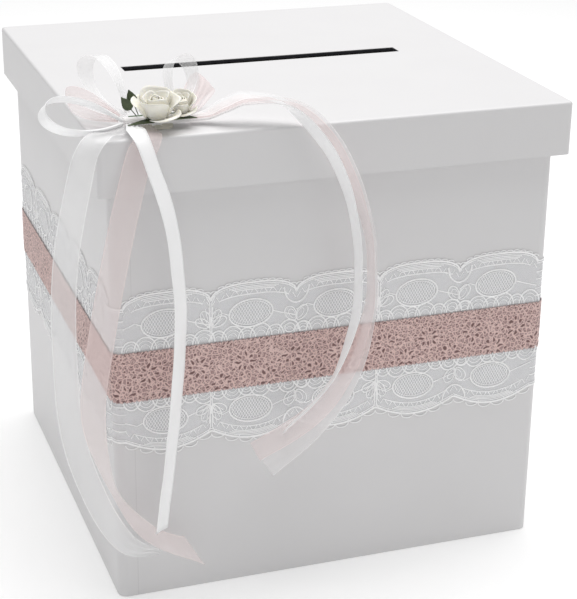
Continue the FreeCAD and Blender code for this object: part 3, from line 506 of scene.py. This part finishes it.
def crochet(along, z):
    """How far the rose lace is thread, and how far it reaches its edge, at a place on the band."""
    edge = ROSE_HALF - 0.75 + 0.7 * abs(math.sin(math.pi * along / EYELET)) - abs(z)
    eyelet = math.hypot((along % EYELET - EYELET / 2) / 0.6, (abs(z) - 11.7) / 0.55)
    along += 0.45 * math.sin(1.3 * z + 0.7 * along)
    z += 0.4 * math.sin(0.9 * along) + 0.25 * math.sin(2.3 * along + z)
    x = along % ROSE_PITCH - ROSE_PITCH / 2
    beside = (along + ROSE_PITCH / 2) % ROSE_PITCH - ROSE_PITCH / 2
    if math.hypot(x, z - 1) < 9:
        thread = daisy(x, z - 1)
    elif math.hypot(beside, z + 9) < 9:
        thread = daisy(beside, z + 9)
    else:
        row = math.floor(z / 2.3)
        thread = hole(math.hypot(((along + 1.2 * (row % 2)) % 2.4 - 1.2) / 0.8, (z % 2.3 - 1.15) / 0.65))
    return min(thread, hole(eyelet)), min(max(edge / 0.35 + 0.5, 0), 1)


def strength_along(nodes, links, value, stops):
    """A strength that runs through stops, each a place along the value and the strength there."""
    curve = nodes.new("ShaderNodeValToRGB")
    points = curve.color_ramp.elements
    for index, (position, strength) in enumerate(stops):
        point = points[index] if index < 2 else points.new(position)
        point.position = position
        point.color = (strength, strength, strength, 1)
    links.new(value, curve.inputs["Fac"])
    return curve.outputs["Color"]


DARK_THREAD, MIDDLE_THREAD = (0.33, 0.205, 0.2), (0.53, 0.36, 0.345)
# The hole colour is painted shade: the sheet has no openings, so the dark of the holes is coloured on.
LIGHT_THREAD, HOLE_SHADE = (0.86, 0.64, 0.6), (0.2, 0.11, 0.105)
STITCHES = 420
rose_crochet, nodes, links, shader = new_material("rose_crochet", 0.9, Sheen_Weight=0.25)
place = nodes.new("ShaderNodeTexCoord").outputs["Object"]
cover = nodes.new("ShaderNodeAttribute")
cover.attribute_name = "thread"
tone = mix_tones(nodes, links, noise(nodes, links, place, 1100, 4), DARK_THREAD, MIDDLE_THREAD)
cells = nodes.new("ShaderNodeTexVoronoi")
cells.feature = "DISTANCE_TO_EDGE"
cells.inputs["Scale"].default_value = STITCHES
links.new(place, cells.inputs["Vector"])
# Layers: light stitches, light thread round each hole, and painted shade in the holes.
for value, stops, colour in (
    (cells.outputs["Distance"], ((0.03, 0.9), (0.15, 0)), LIGHT_THREAD),
    (cover.outputs["Fac"], ((0.35, 0), (0.68, 0.85), (0.95, 0)), LIGHT_THREAD),
    (cover.outputs["Fac"], ((0.08, 1), (0.5, 0)), HOLE_SHADE),
):
    layer = nodes.new("ShaderNodeMix")
    layer.data_type = "RGBA"
    links.new(strength_along(nodes, links, value, stops), layer.inputs["Factor"])
    links.new(tone, layer.inputs["A"])
    layer.inputs["B"].default_value = (*colour, 1)
    tone = layer.outputs["Result"]
links.new(tone, shader.inputs["Base Color"])
bump(nodes, links, noise(nodes, links, place, 2600, 4), shader, 0.8, 0.0003)
edge_cover = nodes.new("ShaderNodeAttribute")
edge_cover.attribute_name = "fringe"
links.new(edge_cover.outputs["Fac"], shader.inputs["Alpha"])

ROSE_COLUMNS, ROSE_ROWS, ROSE_GAP, ROSE_RELIEF = 1628, 49, 0.55, 0.3
rows, threads, fringes = [], [], []
for column in range(ROSE_COLUMNS):
    along = 4 * WALL_TURN * column / ROSE_COLUMNS
    row = []
    for step in range(ROSE_ROWS):
        z = ROSE_HALF * (2 * step / (ROSE_ROWS - 1) - 1)
        thread, fringe = crochet(along, z)
        threads.append(thread)
        fringes.append(fringe)
        row.append(wall_place(along, ROSE_MIDDLE + z, ROSE_GAP + ROSE_RELIEF * thread))
    rows.append(row)
rose_sheet = grid("rose_lace_crochet", rows, rose_crochet, closed=True)
for name, values in (("thread", threads), ("fringe", fringes)):
    rose_sheet.data.attributes.new(name, "FLOAT", "POINT").data.foreach_set("value", values)
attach(rose_sheet, "base")
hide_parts("rose_lace_band")


# Lid boards: a top board with the card slot cut through it, and rim boards doubled by inner ones.
# All are pressed board, glued edge to edge. The top board is painted near black all through, as painted shade
# for the inside of the card slot, where only its cut edges show.
slot_painted_shade = paint("slot_painted_shade", (0.025, 0.025, 0.032), (0.045, 0.045, 0.055), 0.8, scale=300, grain=2500)
dress(slot_painted_shade, "lid_top_board")
dress(board, *(f"lid_{side}_{kind}" for side in SIDES for kind in ("rim", "doubler")))

# Lid paper: the same white paper, glued over the top and the rim and turned in round the rim's edge.
# A plain sheet lines the inside; its upright edges, the cut edges of its slot among them, get the same
# painted shade.
dress(white_paper, "lid_wrap")
dress(inner_paper, "lid_liner")
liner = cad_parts["lid_liner"].data
liner.materials.append(slot_painted_shade)
for face in liner.polygons:
    face.material_index = int(abs(face.normal.z) < 0.5)

# Bow glue: a pad of set glue near the lid's front left corner, which holds the middle of the bow.
# It keeps its solid and is clear and yellowish.
glue = paint("glue", (0.8, 0.77, 0.66), (0.88, 0.85, 0.76), 0.25, scale=200, grain=400, strength=0.4)
dress(glue, "bow_glue_pad")


# Ribbons: woven strips of satin, white organza and pink organza, laid in five loops and six tails.
# They are pinched together in the middle of the bow, with pleats there and a soft curl across the width.
# Each one starts where its solid starts and runs along about the same line.
def ribbon_paint(name, dark, light, rough, cover, edge_cover, **sockets):
    """A woven ribbon: threads along and across it, and a denser selvedge where it is sheer."""
    made, nodes, links, shader = new_material(name, rough, **sockets)
    cloth = nodes.new("ShaderNodeUVMap")
    cloth.uv_map = "cloth"
    stretched = nodes.new("ShaderNodeMapping")
    stretched.inputs["Scale"].default_value = (9, 12, 1)
    links.new(cloth.outputs["UV"], stretched.inputs["Vector"])
    streaks = noise(nodes, links, stretched.outputs["Vector"], 9, 4)
    links.new(mix_tones(nodes, links, streaks, dark, light), shader.inputs["Base Color"])
    weave = nodes.new("ShaderNodeTexWave")
    weave.bands_direction = "Y"
    weave.inputs["Scale"].default_value = 700
    weave.inputs["Distortion"].default_value = 2
    links.new(cloth.outputs["UV"], weave.inputs["Vector"])
    bump(nodes, links, weave.outputs["Fac"], shader, 0.25, 0.00006)
    if cover < 1:
        split = nodes.new("ShaderNodeSeparateXYZ")
        links.new(cloth.outputs["UV"], split.inputs["Vector"])
        away = calculate(
            nodes, links, "ABSOLUTE", calculate(nodes, links, "SUBTRACT", split.outputs["X"], 0.5),
        )
        selvedge = nodes.new("ShaderNodeMapRange")
        ends = (("From Min", 0.45), ("From Max", 0.47), ("To Min", cover), ("To Max", edge_cover))
        for socket, value in ends:
            selvedge.inputs[socket].default_value = value
        links.new(away, selvedge.inputs["Value"])
        sheer = calculate(
            nodes, links, "MULTIPLY_ADD", weave.outputs["Fac"], 0.16, selvedge.outputs["Result"],
        )
        links.new(sheer, shader.inputs["Alpha"])
    return made


# The ribbons' emission is painted light: a glow that stands in for light passing through the thin cloth.
satin = ribbon_paint(
    "satin", (0.88, 0.88, 0.89), (0.95, 0.95, 0.95), 0.36, 1, 1, Sheen_Weight=0.25, Emission_Strength=0.09,
)
# SHEER carries the same painted glow for both organzas.
SHEER = {"rough": 0.45, "Sheen_Weight": 0.4, "Emission_Strength": 0.06}
white_organza = ribbon_paint(
    "white_organza", (0.9, 0.9, 0.91), (0.96, 0.96, 0.96), cover=0.36, edge_cover=0.6, **SHEER,
)
pink_organza = ribbon_paint(
    "pink_organza", (0.86, 0.68, 0.67), (0.92, 0.79, 0.78), cover=0.32, edge_cover=0.46, **SHEER,
)
BOW = Vector((-88, -103.5, 242))
GATHER_END = 15.5
LEFT_FRONT = BOW + Vector((-GATHER_END, -3.5, 3.5))
RIGHT_END = BOW + Vector((GATHER_END, 0, 3.5))
LID_CORNER = Vector((-120, -120, 242))
RIBBONS = {
    "satin": (satin, 10, "satin_ribbon"),
    "pink": (pink_organza, 12.5, "pink_organza"),
    "organza": (white_organza, 12, "white_organza"),
}
ACROSS, SATIN_THICKNESS = 13, 0.25
TAIL_CURL, LOOP_CURL = 0.05, 0.02


def smooth(values, span, part):
    """A point on the smooth curve through a row of values, part of the way along one span."""
    before, start, end, after = (
        values[min(max(span + step, 0), len(values) - 1)] for step in (-1, 0, 1, 2)
    )
    square, cube = part * part, part ** 3
    return (
        start * (2 * cube - 3 * square + 1)
        + (end - before) * (0.5 * (cube - 2 * square + part))
        + end * (3 * square - 2 * cube)
        + (after - start) * (0.5 * (cube - square))
    )


def ribbon(name, centres, acrosses, shares, curl, cut=0.0):
    """A ribbon's sheet from its middle line, its width's direction and its share of the full width."""
    material, width, slot = RIBBONS[name.split("_")[0]]
    rows, uvs, run = [], [], 0
    for index, centre in enumerate(centres):
        ahead, behind = centres[min(index + 1, len(centres) - 1)], centres[max(index - 1, 0)]
        along = (ahead - behind).normalized()
        across = (acrosses[index] - along * acrosses[index].dot(along)).normalized()
        face = along.cross(across)
        run += (centre - centres[max(index - 1, 0)]).length
        share = shares[index]
        slant = cut * width * max(10 * index / (len(centres) - 1) - 9, 0)
        row = []
        for column in range(ACROSS):
            part = column / (ACROSS - 1)
            pleat = (1 - share) * 0.09 * width * math.sin(6 * math.pi * part + 0.4)
            bow = curl * width * (1 - (2 * part - 1) ** 2) * math.sin(0.055 * run + 0.6)
            wave = 0.012 * width * math.sin(0.21 * run + 5 * part)
            place = centre + across * (width * share * (part - 0.5)) + along * (slant * (0.5 - part))
            row.append((place + face * (pleat + bow + wave)) * MM)
        rows.append(row)
        uvs.append([(column / (ACROSS - 1), run * MM) for column in range(ACROSS)])
    made = grid(f"{name}_cloth", rows, material, uvs)
    if slot == "satin_ribbon":
        thick = made.modifiers.new("thickness", "SOLIDIFY")
        thick.thickness = SATIN_THICKNESS * MM
        thick.offset = 0
    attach(made, "lid")
    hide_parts(name)
    return made


def tail(name, root, near_rows, hanging_rows, cut=0.0, steps=10):
    """A tail from rows of a place, its width's direction and its share of the ribbon's width.

    A cut other than nought slants its end.
    """
    places = [root + Vector(place) for place, _, _ in near_rows]
    places += [LID_CORNER + Vector(place) for place, _, _ in hanging_rows]
    rows = near_rows + hanging_rows
    directions = [Vector(direction).normalized() for _, direction, _ in rows]
    widths = [share for _, _, share in rows]
    spots = [(span, step / steps) for span in range(len(rows) - 1) for step in range(steps)]
    spots.append((len(rows) - 2, 1))
    return ribbon(
        name,
        [smooth(places, *spot) for spot in spots],
        [smooth(directions, *spot) for spot in spots],
        [smooth(widths, *spot) for spot in spots],
        TAIL_CURL, cut,
    )


tail("satin_front_tail", LEFT_FRONT, [
    ((2.5, -1.3, 0.1), (1, 0, 0), 0.5), ((2.4, -7, 0.1), (0.9, 0.4, 0), 0.75),
], [
    ((18.9, -0.5, 3), (0.8, 0.6, 0), 1), ((20.9, -5.6, -1.8), (0.78, 0.62, 0), 1),
    ((24.6, -7.2, -14.4), (0.76, 0.65, 0), 1), ((32, -7.2, -39.8), (0.76, 0.65, 0), 1),
    ((35.9, -7, -78), (0.76, 0.65, 0), 1), ((35, -7, -108.3), (0.76, 0.65, 0), 1),
    ((31, -7.4, -150.6), (0.76, 0.65, 0), 1), ((24.6, -8, -198.6), (0.76, 0.65, 0), 1),
])
tail("pink_front_tail", LEFT_FRONT, [
    ((9.5, -1.3, -1.1), (1, 0, 0), 0.4), ((9.2, -7, -2.2), (1, 0, 0), 0.75),
], [
    ((24.5, 0.9, 1.1), (1, 0, 0), 0.95), ((22, -2.2, -2.6), (1, 0, 0), 1),
    ((18, -2.6, -10), (1, 0, 0), 1), ((8, -6, -45), (0.98, -0.2, 0), 1),
    ((-1.8, -5.6, -93), (0.95, -0.31, 0.05), 1), ((-6.9, -4.6, -134.3), (0.82, -0.55, 0.1), 1),
    ((1, -4.4, -172), (0.16, -0.92, 0.34), 1), ((20, -4.8, -201.4), (0.45, -0.55, 0.7), 1),
    ((42.3, -4.5, -215), (0.48, -0.15, 0.86), 1),
], cut=1.6)
tail("organza_left_tail", LEFT_FRONT, [
    ((0.5, -1.9, -1.7), (0.7, -0.7, 0), 0.45), ((-6.5, -6.3, -2.1), (0.7, -0.7, 0), 0.8),
], [
    ((2.5, 2.3, 2.4), (0.7, -0.7, 0), 1), ((-4.3, -1.3, -3), (0.63, -0.75, -0.2), 1),
    ((-8.5, 0.5, -18), (0.81, -0.45, -0.28), 1), ((-13.6, 12, -59), (0.94, -0.33, 0), 1),
    ((-15.3, 16, -100.4), (0.94, -0.33, 0), 1), ((-14.1, 12, -147.5), (0.93, -0.3, 0.15), 1),
    ((-5.2, 4, -182.2), (0.82, -0.2, 0.42), 1), ((8.8, 1.4, -208.3), (0.65, -0.08, 0.65), 0.9),
    ((25.5, 0.8, -215.4), (0.37, 0.06, 0.81), 0.3),
])
tail("pink_right_tail", RIGHT_END, [
    ((0.7, 0, -0.5), (0, 1, 0), 0.4), ((8.5, -1.5, 0.7), (0, 1, 0), 0.6),
    ((16.5, -5, 5.5), (0, 1, 0), 0.85), ((26, -8.5, 9.1), (0, 1, 0), 1),
], [
    ((92, -1, 10.4), (-0.2, 0.95, -0.2), 1), ((106, -10, -4.5), (-0.48, 0.8, -0.36), 1),
    ((115.9, -12, -22.2), (-0.4, 0.88, -0.2), 1), ((125.6, -12.4, -45), (-0.08, 1, 0), 1),
    ((129.6, -12.4, -70), (0.06, 1, 0), 1), ((128.4, -12.5, -96), (0, 0.99, 0.05), 1),
    ((118.7, -10.5, -125.5), (-0.18, 0.95, 0.1), 1), ((101, -9, -147.5), (-0.26, 0.93, 0.26), 1),
    ((73.1, -7, -163.3), (-0.26, 0.93, 0.26), 1),
])
tail("satin_right_tail", RIGHT_END, [
    ((0.7, 0, -1.5), (0, 1, 0), 0.45), ((8.5, -1.5, -0.4), (0, 1, 0), 0.7),
    ((16.7, -5, 4), (0, 1, 0), 0.9), ((26, -8.5, 7.5), (0, 1, 0), 1),
], [
    ((91.2, -1, 8.9), (-0.2, 0.95, -0.2), 1), ((104.9, -10, -6.2), (-0.24, 0.89, -0.34), 1),
    ((114, -12, -23.5), (-0.2, 0.95, -0.2), 1), ((120.2, -13, -45.6), (-0.1, 0.98, 0), 1),
    ((122.8, -13, -70), (-0.02, 0.99, 0), 1), ((122.2, -12.5, -94.9), (0, 0.97, 0.05), 1),
    ((115, -10.5, -121), (0.25, 0.93, -0.1), 1), ((106.4, -9, -136), (0.37, 0.89, -0.2), 1),
    ((87.5, -7.5, -154), (0.38, 0.89, -0.22), 0.9),
])
tail("organza_right_tail", RIGHT_END, [
    ((0.7, 0, 0.5), (0, 1, 0), 0.45), ((8.5, -1.5, 1.9), (0, 1, 0), 0.7),
    ((16.1, -5, 6.9), (0, 1, 0), 0.9), ((26, -8.5, 10.7), (0, 1, 0), 1),
], [
    ((92.8, -1, 11.9), (-0.2, 0.95, -0.2), 1), ((107.3, -10, -3.4), (-0.48, 0.8, -0.36), 1),
    ((117.5, -12, -21.4), (-0.4, 0.88, -0.2), 1), ((127, -12.5, -44.6), (-0.08, 1, 0), 1),
    ((130.8, -12.5, -70), (0.06, 1, 0), 1), ((130, -12.5, -96.7), (0, 0.99, 0.05), 1),
    ((121.5, -11, -127.5), (-0.18, 0.95, 0.1), 1), ((104.5, -9.5, -152), (-0.26, 0.93, 0.26), 1),
    ((79.4, -8, -172.7), (-0.26, 0.93, 0.26), 1),
])


def bow_loop(name, start, direction, length, spread, across, steps=72):
    """A ribbon loop: a drop-shaped line out from the gather and back, pinched where it starts."""
    out = Vector(direction).normalized()
    wide = Vector(across)
    wide = (wide - out * wide.dot(out)).normalized()
    open_way = out.cross(wide)
    centres, shares = [], []
    for step in range(steps + 1):
        angle = 2 * math.pi * step / steps
        swell = math.sin(angle / 2)
        opening = spread * 1.3 * math.sin(angle) * swell + 0.8 * math.cos(angle / 2)
        centres.append(BOW + Vector(start) + out * (length * swell ** 2) + open_way * opening)
        shares.append(0.3 + 0.7 * swell ** 2)
    return ribbon(name, centres, [wide] * len(centres), shares, LOOP_CURL)


bow_loop("satin_left_loop", (-16.4, -2.2, 3.9), (-0.97, -0.06, 0.22), 38.5, 7.5, (-0.15, -0.77, 0.62))
bow_loop("pink_left_loop", (-17.2, 1.7, 5.1), (-0.7, 0.67, 0.24), 27.8, 3.7, (0.73, -0.56, -0.39))
bow_loop("organza_left_loop", (-13.3, 3.6, 6.4), (-0.35, 0.68, 0.64), 33.4, 7.2, (0.9, 0.49, -0.32))
bow_loop("organza_right_loop", (11.8, 5.6, 5.6), (0.245, 0.553, 0.796), 26.5, 6.3, (0.245, -0.955, 0.166))
bow_loop("pink_right_loop", (16.8, 3.9, 3.6), (0.5, 0.79, 0.36), 26, 5, (-0.7, 0.03, 0.71))


# Bow middle: the ribbons bunched into pleats, and the satin band that ties them round.
# Both are soft cloth on the pad of glue, made as rings along the bow's length.
BUNCH_STEPS, BUNCH_TURNS, SQUARENESS = 24, 72, 0.7


def bunch(name, node, material, low, high, half_y, half_z, middle, pleats, depth):
    """A pleated ring of cloth between two places along the bow, narrowed halfway."""
    rows = []
    for step in range(BUNCH_STEPS + 1):
        part = step / BUNCH_STEPS
        x = low + (high - low) * part
        pinch = 1 - 0.12 * math.sin(math.pi * part)
        row = []
        for turn in range(BUNCH_TURNS + 1):
            angle = 2 * math.pi * turn / BUNCH_TURNS
            ridge = 1 - depth * (0.5 + 0.5 * math.cos(pleats * angle + 1.5 * math.sin(3 * part)))
            y = half_y * pinch * ridge * math.copysign(abs(math.cos(angle)) ** SQUARENESS, math.cos(angle))
            z = half_z * pinch * ridge * math.copysign(abs(math.sin(angle)) ** SQUARENESS, math.sin(angle))
            row.append((BOW + Vector((x, middle[0] + y, middle[1] + z))) * MM)
        rows.append(row)
    made = grid(f"{name}_cloth", rows, material)
    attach(made, "lid")
    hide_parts(node)


# The pleats and the tie glow a little: painted light that brightens the bow's middle as if light shone
# through the cloth.
pleated = paint(
    "pleated_ribbon", (0.86, 0.83, 0.83), (0.94, 0.92, 0.92), 0.5, 200, 2000, 0.4,
    Sheen_Weight=0.3, Emission_Strength=0.09,
)
tie_satin = paint(
    "tie_satin", (0.88, 0.88, 0.89), (0.95, 0.95, 0.95), 0.38, 200, 3000, 0.3,
    Sheen_Weight=0.25, Emission_Strength=0.09,
)
bunch(
    "gather", "bow_gather", pleated, -GATHER_END, GATHER_END, 3.5, 2, (0, 3.5), 14, 0.16,
)
bunch("binding", "bow_binding", tie_satin, -2, 2, 4.6, 2.5, (0.6, 3.5), 5, 0.05)

# Paper roses: two roses of cream paper on wire stems, which are bound in with the ribbons.
# Each is a rolled bud in inner and outer petals with turned rims, glued in a green calyx.
# A rose's places are shares of its radius round its own axis.
stem_paint = paint("stem", (0.05, 0.11, 0.04), (0.09, 0.17, 0.07), 0.6, scale=400)
dress(stem_paint, "rose_stems")
petal_paper = paint(
    "petal_paper", (0.89, 0.865, 0.78), (0.95, 0.935, 0.88), 0.7, 260, 2500, 0.3,
    Subsurface_Weight=0.15, Subsurface_Radius=(0.002, 0.0018, 0.0012),
)
green = paint("leaf_green", (0.03, 0.042, 0.02), (0.11, 0.145, 0.065), 0.5, 500, 2500, 0.4)
PAPER_THICKNESS = 0.3
PETAL_STEPS, PETAL_COLUMNS = 14, 16
BUD_STEPS, BUD_TURNS, BUD_ROLL = 9, 80, 4.6 * math.pi
CUP_STEPS, CUP_TURNS, SEPALS = 8, 60, 5


def rose_piece(name, parts, radius, place, axis, material, slot):
    """Joins sheets that are given as rows of places on the rose's own axes into one piece."""
    turn = Vector(axis).to_track_quat("Z", "Y").to_matrix()
    places, faces = [], []
    for rows in parts:
        first, width = len(places), len(rows[0])
        places += [(BOW + Vector(place) + turn @ (point * radius)) * MM for row in rows for point in row]
        for row in range(len(rows) - 1):
            for column in range(width - 1):
                here = first + row * width + column
                faces.append((here, here + 1, here + width + 1, here + width))
    made = mesh_object(f"{name}_paper", places, faces, material)
    thick = made.modifiers.new("thickness", "SOLIDIFY")
    thick.thickness = PAPER_THICKNESS * MM
    thick.offset = 0
    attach(made, "lid")
    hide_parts(name)


def petal(angle, half_angle, foot, low, rim, high, roll, phase):
    """A cupped petal with a rounded, rolled and slightly waved rim."""
    rows = []
    for step in range(PETAL_STEPS + 1):
        up = step / PETAL_STEPS
        row = []
        for column in range(PETAL_COLUMNS + 1):
            side = column / (PETAL_COLUMNS / 2) - 1
            reach = up * (1 - 0.3 * side ** 4)
            turned = angle + side * half_angle * (0.7 + 0.3 * math.sin(math.pi * min(reach * 0.7, 0.5)))
            out = foot + (rim - foot) * reach ** 0.75
            out += roll * max(reach - 0.72, 0) * (1 + 0.5 * math.sin(3 * side + phase))
            out += 0.035 * side + 0.02 * math.sin(4 * side + phase) * reach
            height = low + (high - low) * reach ** 1.35 - 1.6 * roll * max(reach - 0.8, 0) ** 1.5
            height += 0.025 * math.sin(5 * side + phase) * reach
            row.append(Vector((out * math.cos(turned), out * math.sin(turned), height)))
        rows.append(row)
    return rows


def furled_bud():
    """A strip of paper rolled round the axis, its upper edge opening a little."""
    rows = []
    for step in range(BUD_STEPS + 1):
        up = step / BUD_STEPS
        row = []
        for turn in range(BUD_TURNS + 1):
            angle = BUD_ROLL * turn / BUD_TURNS
            out = (0.05 + 0.3 * turn / BUD_TURNS) * (0.75 + 0.35 * math.sin(math.pi * (0.25 + 0.6 * up)))
            height = 0.28 + up * (0.72 - 0.1 * turn / BUD_TURNS + 0.04 * math.sin(1.7 * angle))
            row.append(Vector((out * math.cos(angle), out * math.sin(angle), height)))
        rows.append(row)
    return [rows]


def calyx_cup():
    """A small cup with five pointed sepals."""
    rows = []
    for step in range(CUP_STEPS + 1):
        up = step / CUP_STEPS
        row = []
        for turn in range(CUP_TURNS + 1):
            angle = 2 * math.pi * turn / CUP_TURNS
            point = 0.5 + 0.5 * math.cos(SEPALS * angle)
            out = 0.1 + 0.22 * up + 0.12 * up * up * point
            row.append(Vector((out * math.cos(angle), out * math.sin(angle), 0.2 * up * (0.7 + 0.3 * point))))
        rows.append(row)
    return [rows]


# An outer petal's direction, half angle, rim, height and roll.
OUTER_PETALS = (
    (-1.6, 1.3, 0.7, 1.04, 0.22),
    (-0.65, 1, 0.98, 0.46, 0.4),
    (0.6, 1.05, 0.86, 0.95, 0.4),
    (1.85, 1.05, 0.8, 1.12, 0.3),
    (3.1, 1.05, 0.86, 0.9, 0.3),
)
THIRD_TURN = 2.094
for name, radius, place, axis in (
    ("front_rose", 11.5, (-0.6, -4.8, 5), (-0.1, -0.16, 0.98)),
    ("back_rose", 7.8, (13.4, 0.8, 6), (-0.25, -0.25, 0.93)),
):
    seat = (radius, place, Vector(axis).normalized())
    outer = [
        petal(angle, half_angle, 0.33, 0.12, rim, high, roll, 1.9 * index)
        for index, (angle, half_angle, rim, high, roll) in enumerate(OUTER_PETALS)
    ]
    inner = [
        petal(THIRD_TURN * index - 1.2, 1.3, 0.24, 0.26, 0.46, 1.1, 0.2, 2.3 * index)
        for index in range(3)
    ]
    rose_piece(f"{name}_outer_petals", outer, *seat, petal_paper, "rose_paper")
    rose_piece(f"{name}_inner_petals", inner, *seat, petal_paper, "rose_paper")
    rose_piece(f"{name}_bud", furled_bud(), *seat, petal_paper, "rose_paper")
    rose_piece(f"{name}_calyx", calyx_cup(), *seat, green, "leaf_green")


# Leaves: four leaves of green paper with saw-toothed edges, bound in with the roses' stems.
# Each is folded along its midrib and droops a little. Two stand on stalks and two lie under the roses.
LEAF_STEPS, LEAF_COLUMNS, TEETH = 32, 8, 9


def paper_leaf(name, length, foot, direction, face, stalk=0.0):
    """A leaf from its foot, the way it points and the way its face looks; a stalk is a share of it."""
    along = Vector(direction).normalized()
    across = Vector(face).cross(along).normalized()
    lift = along.cross(across)
    rows = []
    for step in range(LEAF_STEPS + 1):
        part = step / LEAF_STEPS
        blade = min(max((part - stalk) / (1 - stalk), 0), 1)
        half = 7.2 * blade ** 0.6 * (1 - blade) ** 1.2 * (0.92 + 0.12 * (part * TEETH % 1)) + 0.2
        row = []
        for column in range(LEAF_COLUMNS + 1):
            side = column / (LEAF_COLUMNS / 2) - 1
            height = 0.2 + 0.14 * half * abs(side) + 0.35 * math.sin(math.pi * part) - 0.3 * part
            place = along * (length * part) + across * (half * side) + lift * height
            row.append((BOW + Vector(foot) + place) * MM)
        rows.append(row)
    made = grid(f"{name}_paper", rows, green)
    thick = made.modifiers.new("thickness", "SOLIDIFY")
    thick.thickness = PAPER_THICKNESS * MM
    thick.offset = 0
    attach(made, "lid")
    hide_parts(name)


paper_leaf("left_leaf", 12.6, (-9.4, -1.4, 6.2), (-0.6, -0.13, 0.79), (-0.3, -0.85, 0.2), stalk=0.4)
paper_leaf("upper_leaf", 12.6, (-8, 1.6, 6.1), (-0.33, 0.05, 0.94), (-0.3, -0.95, 0), stalk=0.45)
paper_leaf("front_leaf", 20, (4, -5.6, 4.6), (-1, -0.18, 0), (0, -0.15, 0.99))
paper_leaf("right_leaf", 13, (5, -4.5, 4.6), (1, -0.3, 0.06), (0, -0.15, 0.99))

# Studio: a white floor, a soft white surround and one broad light above.
# The floor glows a little, so that it looks white and still keeps the box's shadow.
FLOOR_HALF, FLOOR_GLOW, SURROUND = 6, 0.28, 0.36
WHITE = (1, 1, 1, 1)
LIGHT_SIZE, LIGHT_POWER, LIGHT_PLACE, LIGHT_AIM = 2, 39, (0.15, 0.15, 1.9), Vector((0, 0, 0.15))
floor_paint = paint("floor", (0.78, 0.78, 0.78), (0.8, 0.8, 0.8), 0.9, Emission_Strength=FLOOR_GLOW)
floor_paint.node_tree.nodes["Principled BSDF"].inputs["Emission Color"].default_value = WHITE
floor_corners = [(x * FLOOR_HALF, y * FLOOR_HALF, 0) for x, y in ((-1, -1), (1, -1), (1, 1), (-1, 1))]
floor = mesh_object("floor", floor_corners, [(0, 1, 2, 3)], floor_paint, False)
world = bpy.data.worlds.new("studio")
world.use_nodes = True
world.node_tree.nodes["Background"].inputs["Color"].default_value = WHITE
world.node_tree.nodes["Background"].inputs["Strength"].default_value = SURROUND
bpy.context.scene.world = world
light_data = bpy.data.lights.new("top_light", "AREA")
light_data.size = LIGHT_SIZE
light_data.energy = LIGHT_POWER
light = bpy.data.objects.new("top_light", light_data)
bpy.context.collection.objects.link(light)
light.location = LIGHT_PLACE
light.rotation_euler = (LIGHT_AIM - light.location).to_track_quat("-Z", "Y").to_euler()
bpy.context.scene.view_settings.view_transform = "Standard"

# Camera: placed where the photograph was taken, slightly above the lid and left of the front.
# Its turn is built from the line of sight and a small roll.
LENS, SENSOR, CAMERA_PLACE = 100.55, 36, (-0.2778, -0.8276, 0.46)
AZIMUTH, ELEVATION, ROLL = (math.radians(angle) for angle in (-19.45, 22.12, 0.73))
back = Vector((
    math.sin(AZIMUTH) * math.cos(ELEVATION),
    -math.cos(AZIMUTH) * math.cos(ELEVATION),
    math.sin(ELEVATION),
))
level = Vector((0, 0, 1)).cross(back).normalized()
upright = back.cross(level)
right = level * math.cos(ROLL) + upright * math.sin(ROLL)
above = upright * math.cos(ROLL) - level * math.sin(ROLL)
camera_data = bpy.data.cameras.new("camera")
camera_data.lens = LENS
camera_data.sensor_width = SENSOR
camera = bpy.data.objects.new("camera", camera_data)
bpy.context.collection.objects.link(camera)
turn = Matrix((right, above, back)).transposed().to_4x4()
camera.matrix_world = Matrix.Translation(CAMERA_PLACE) @ turn
bpy.context.scene.camera = camera
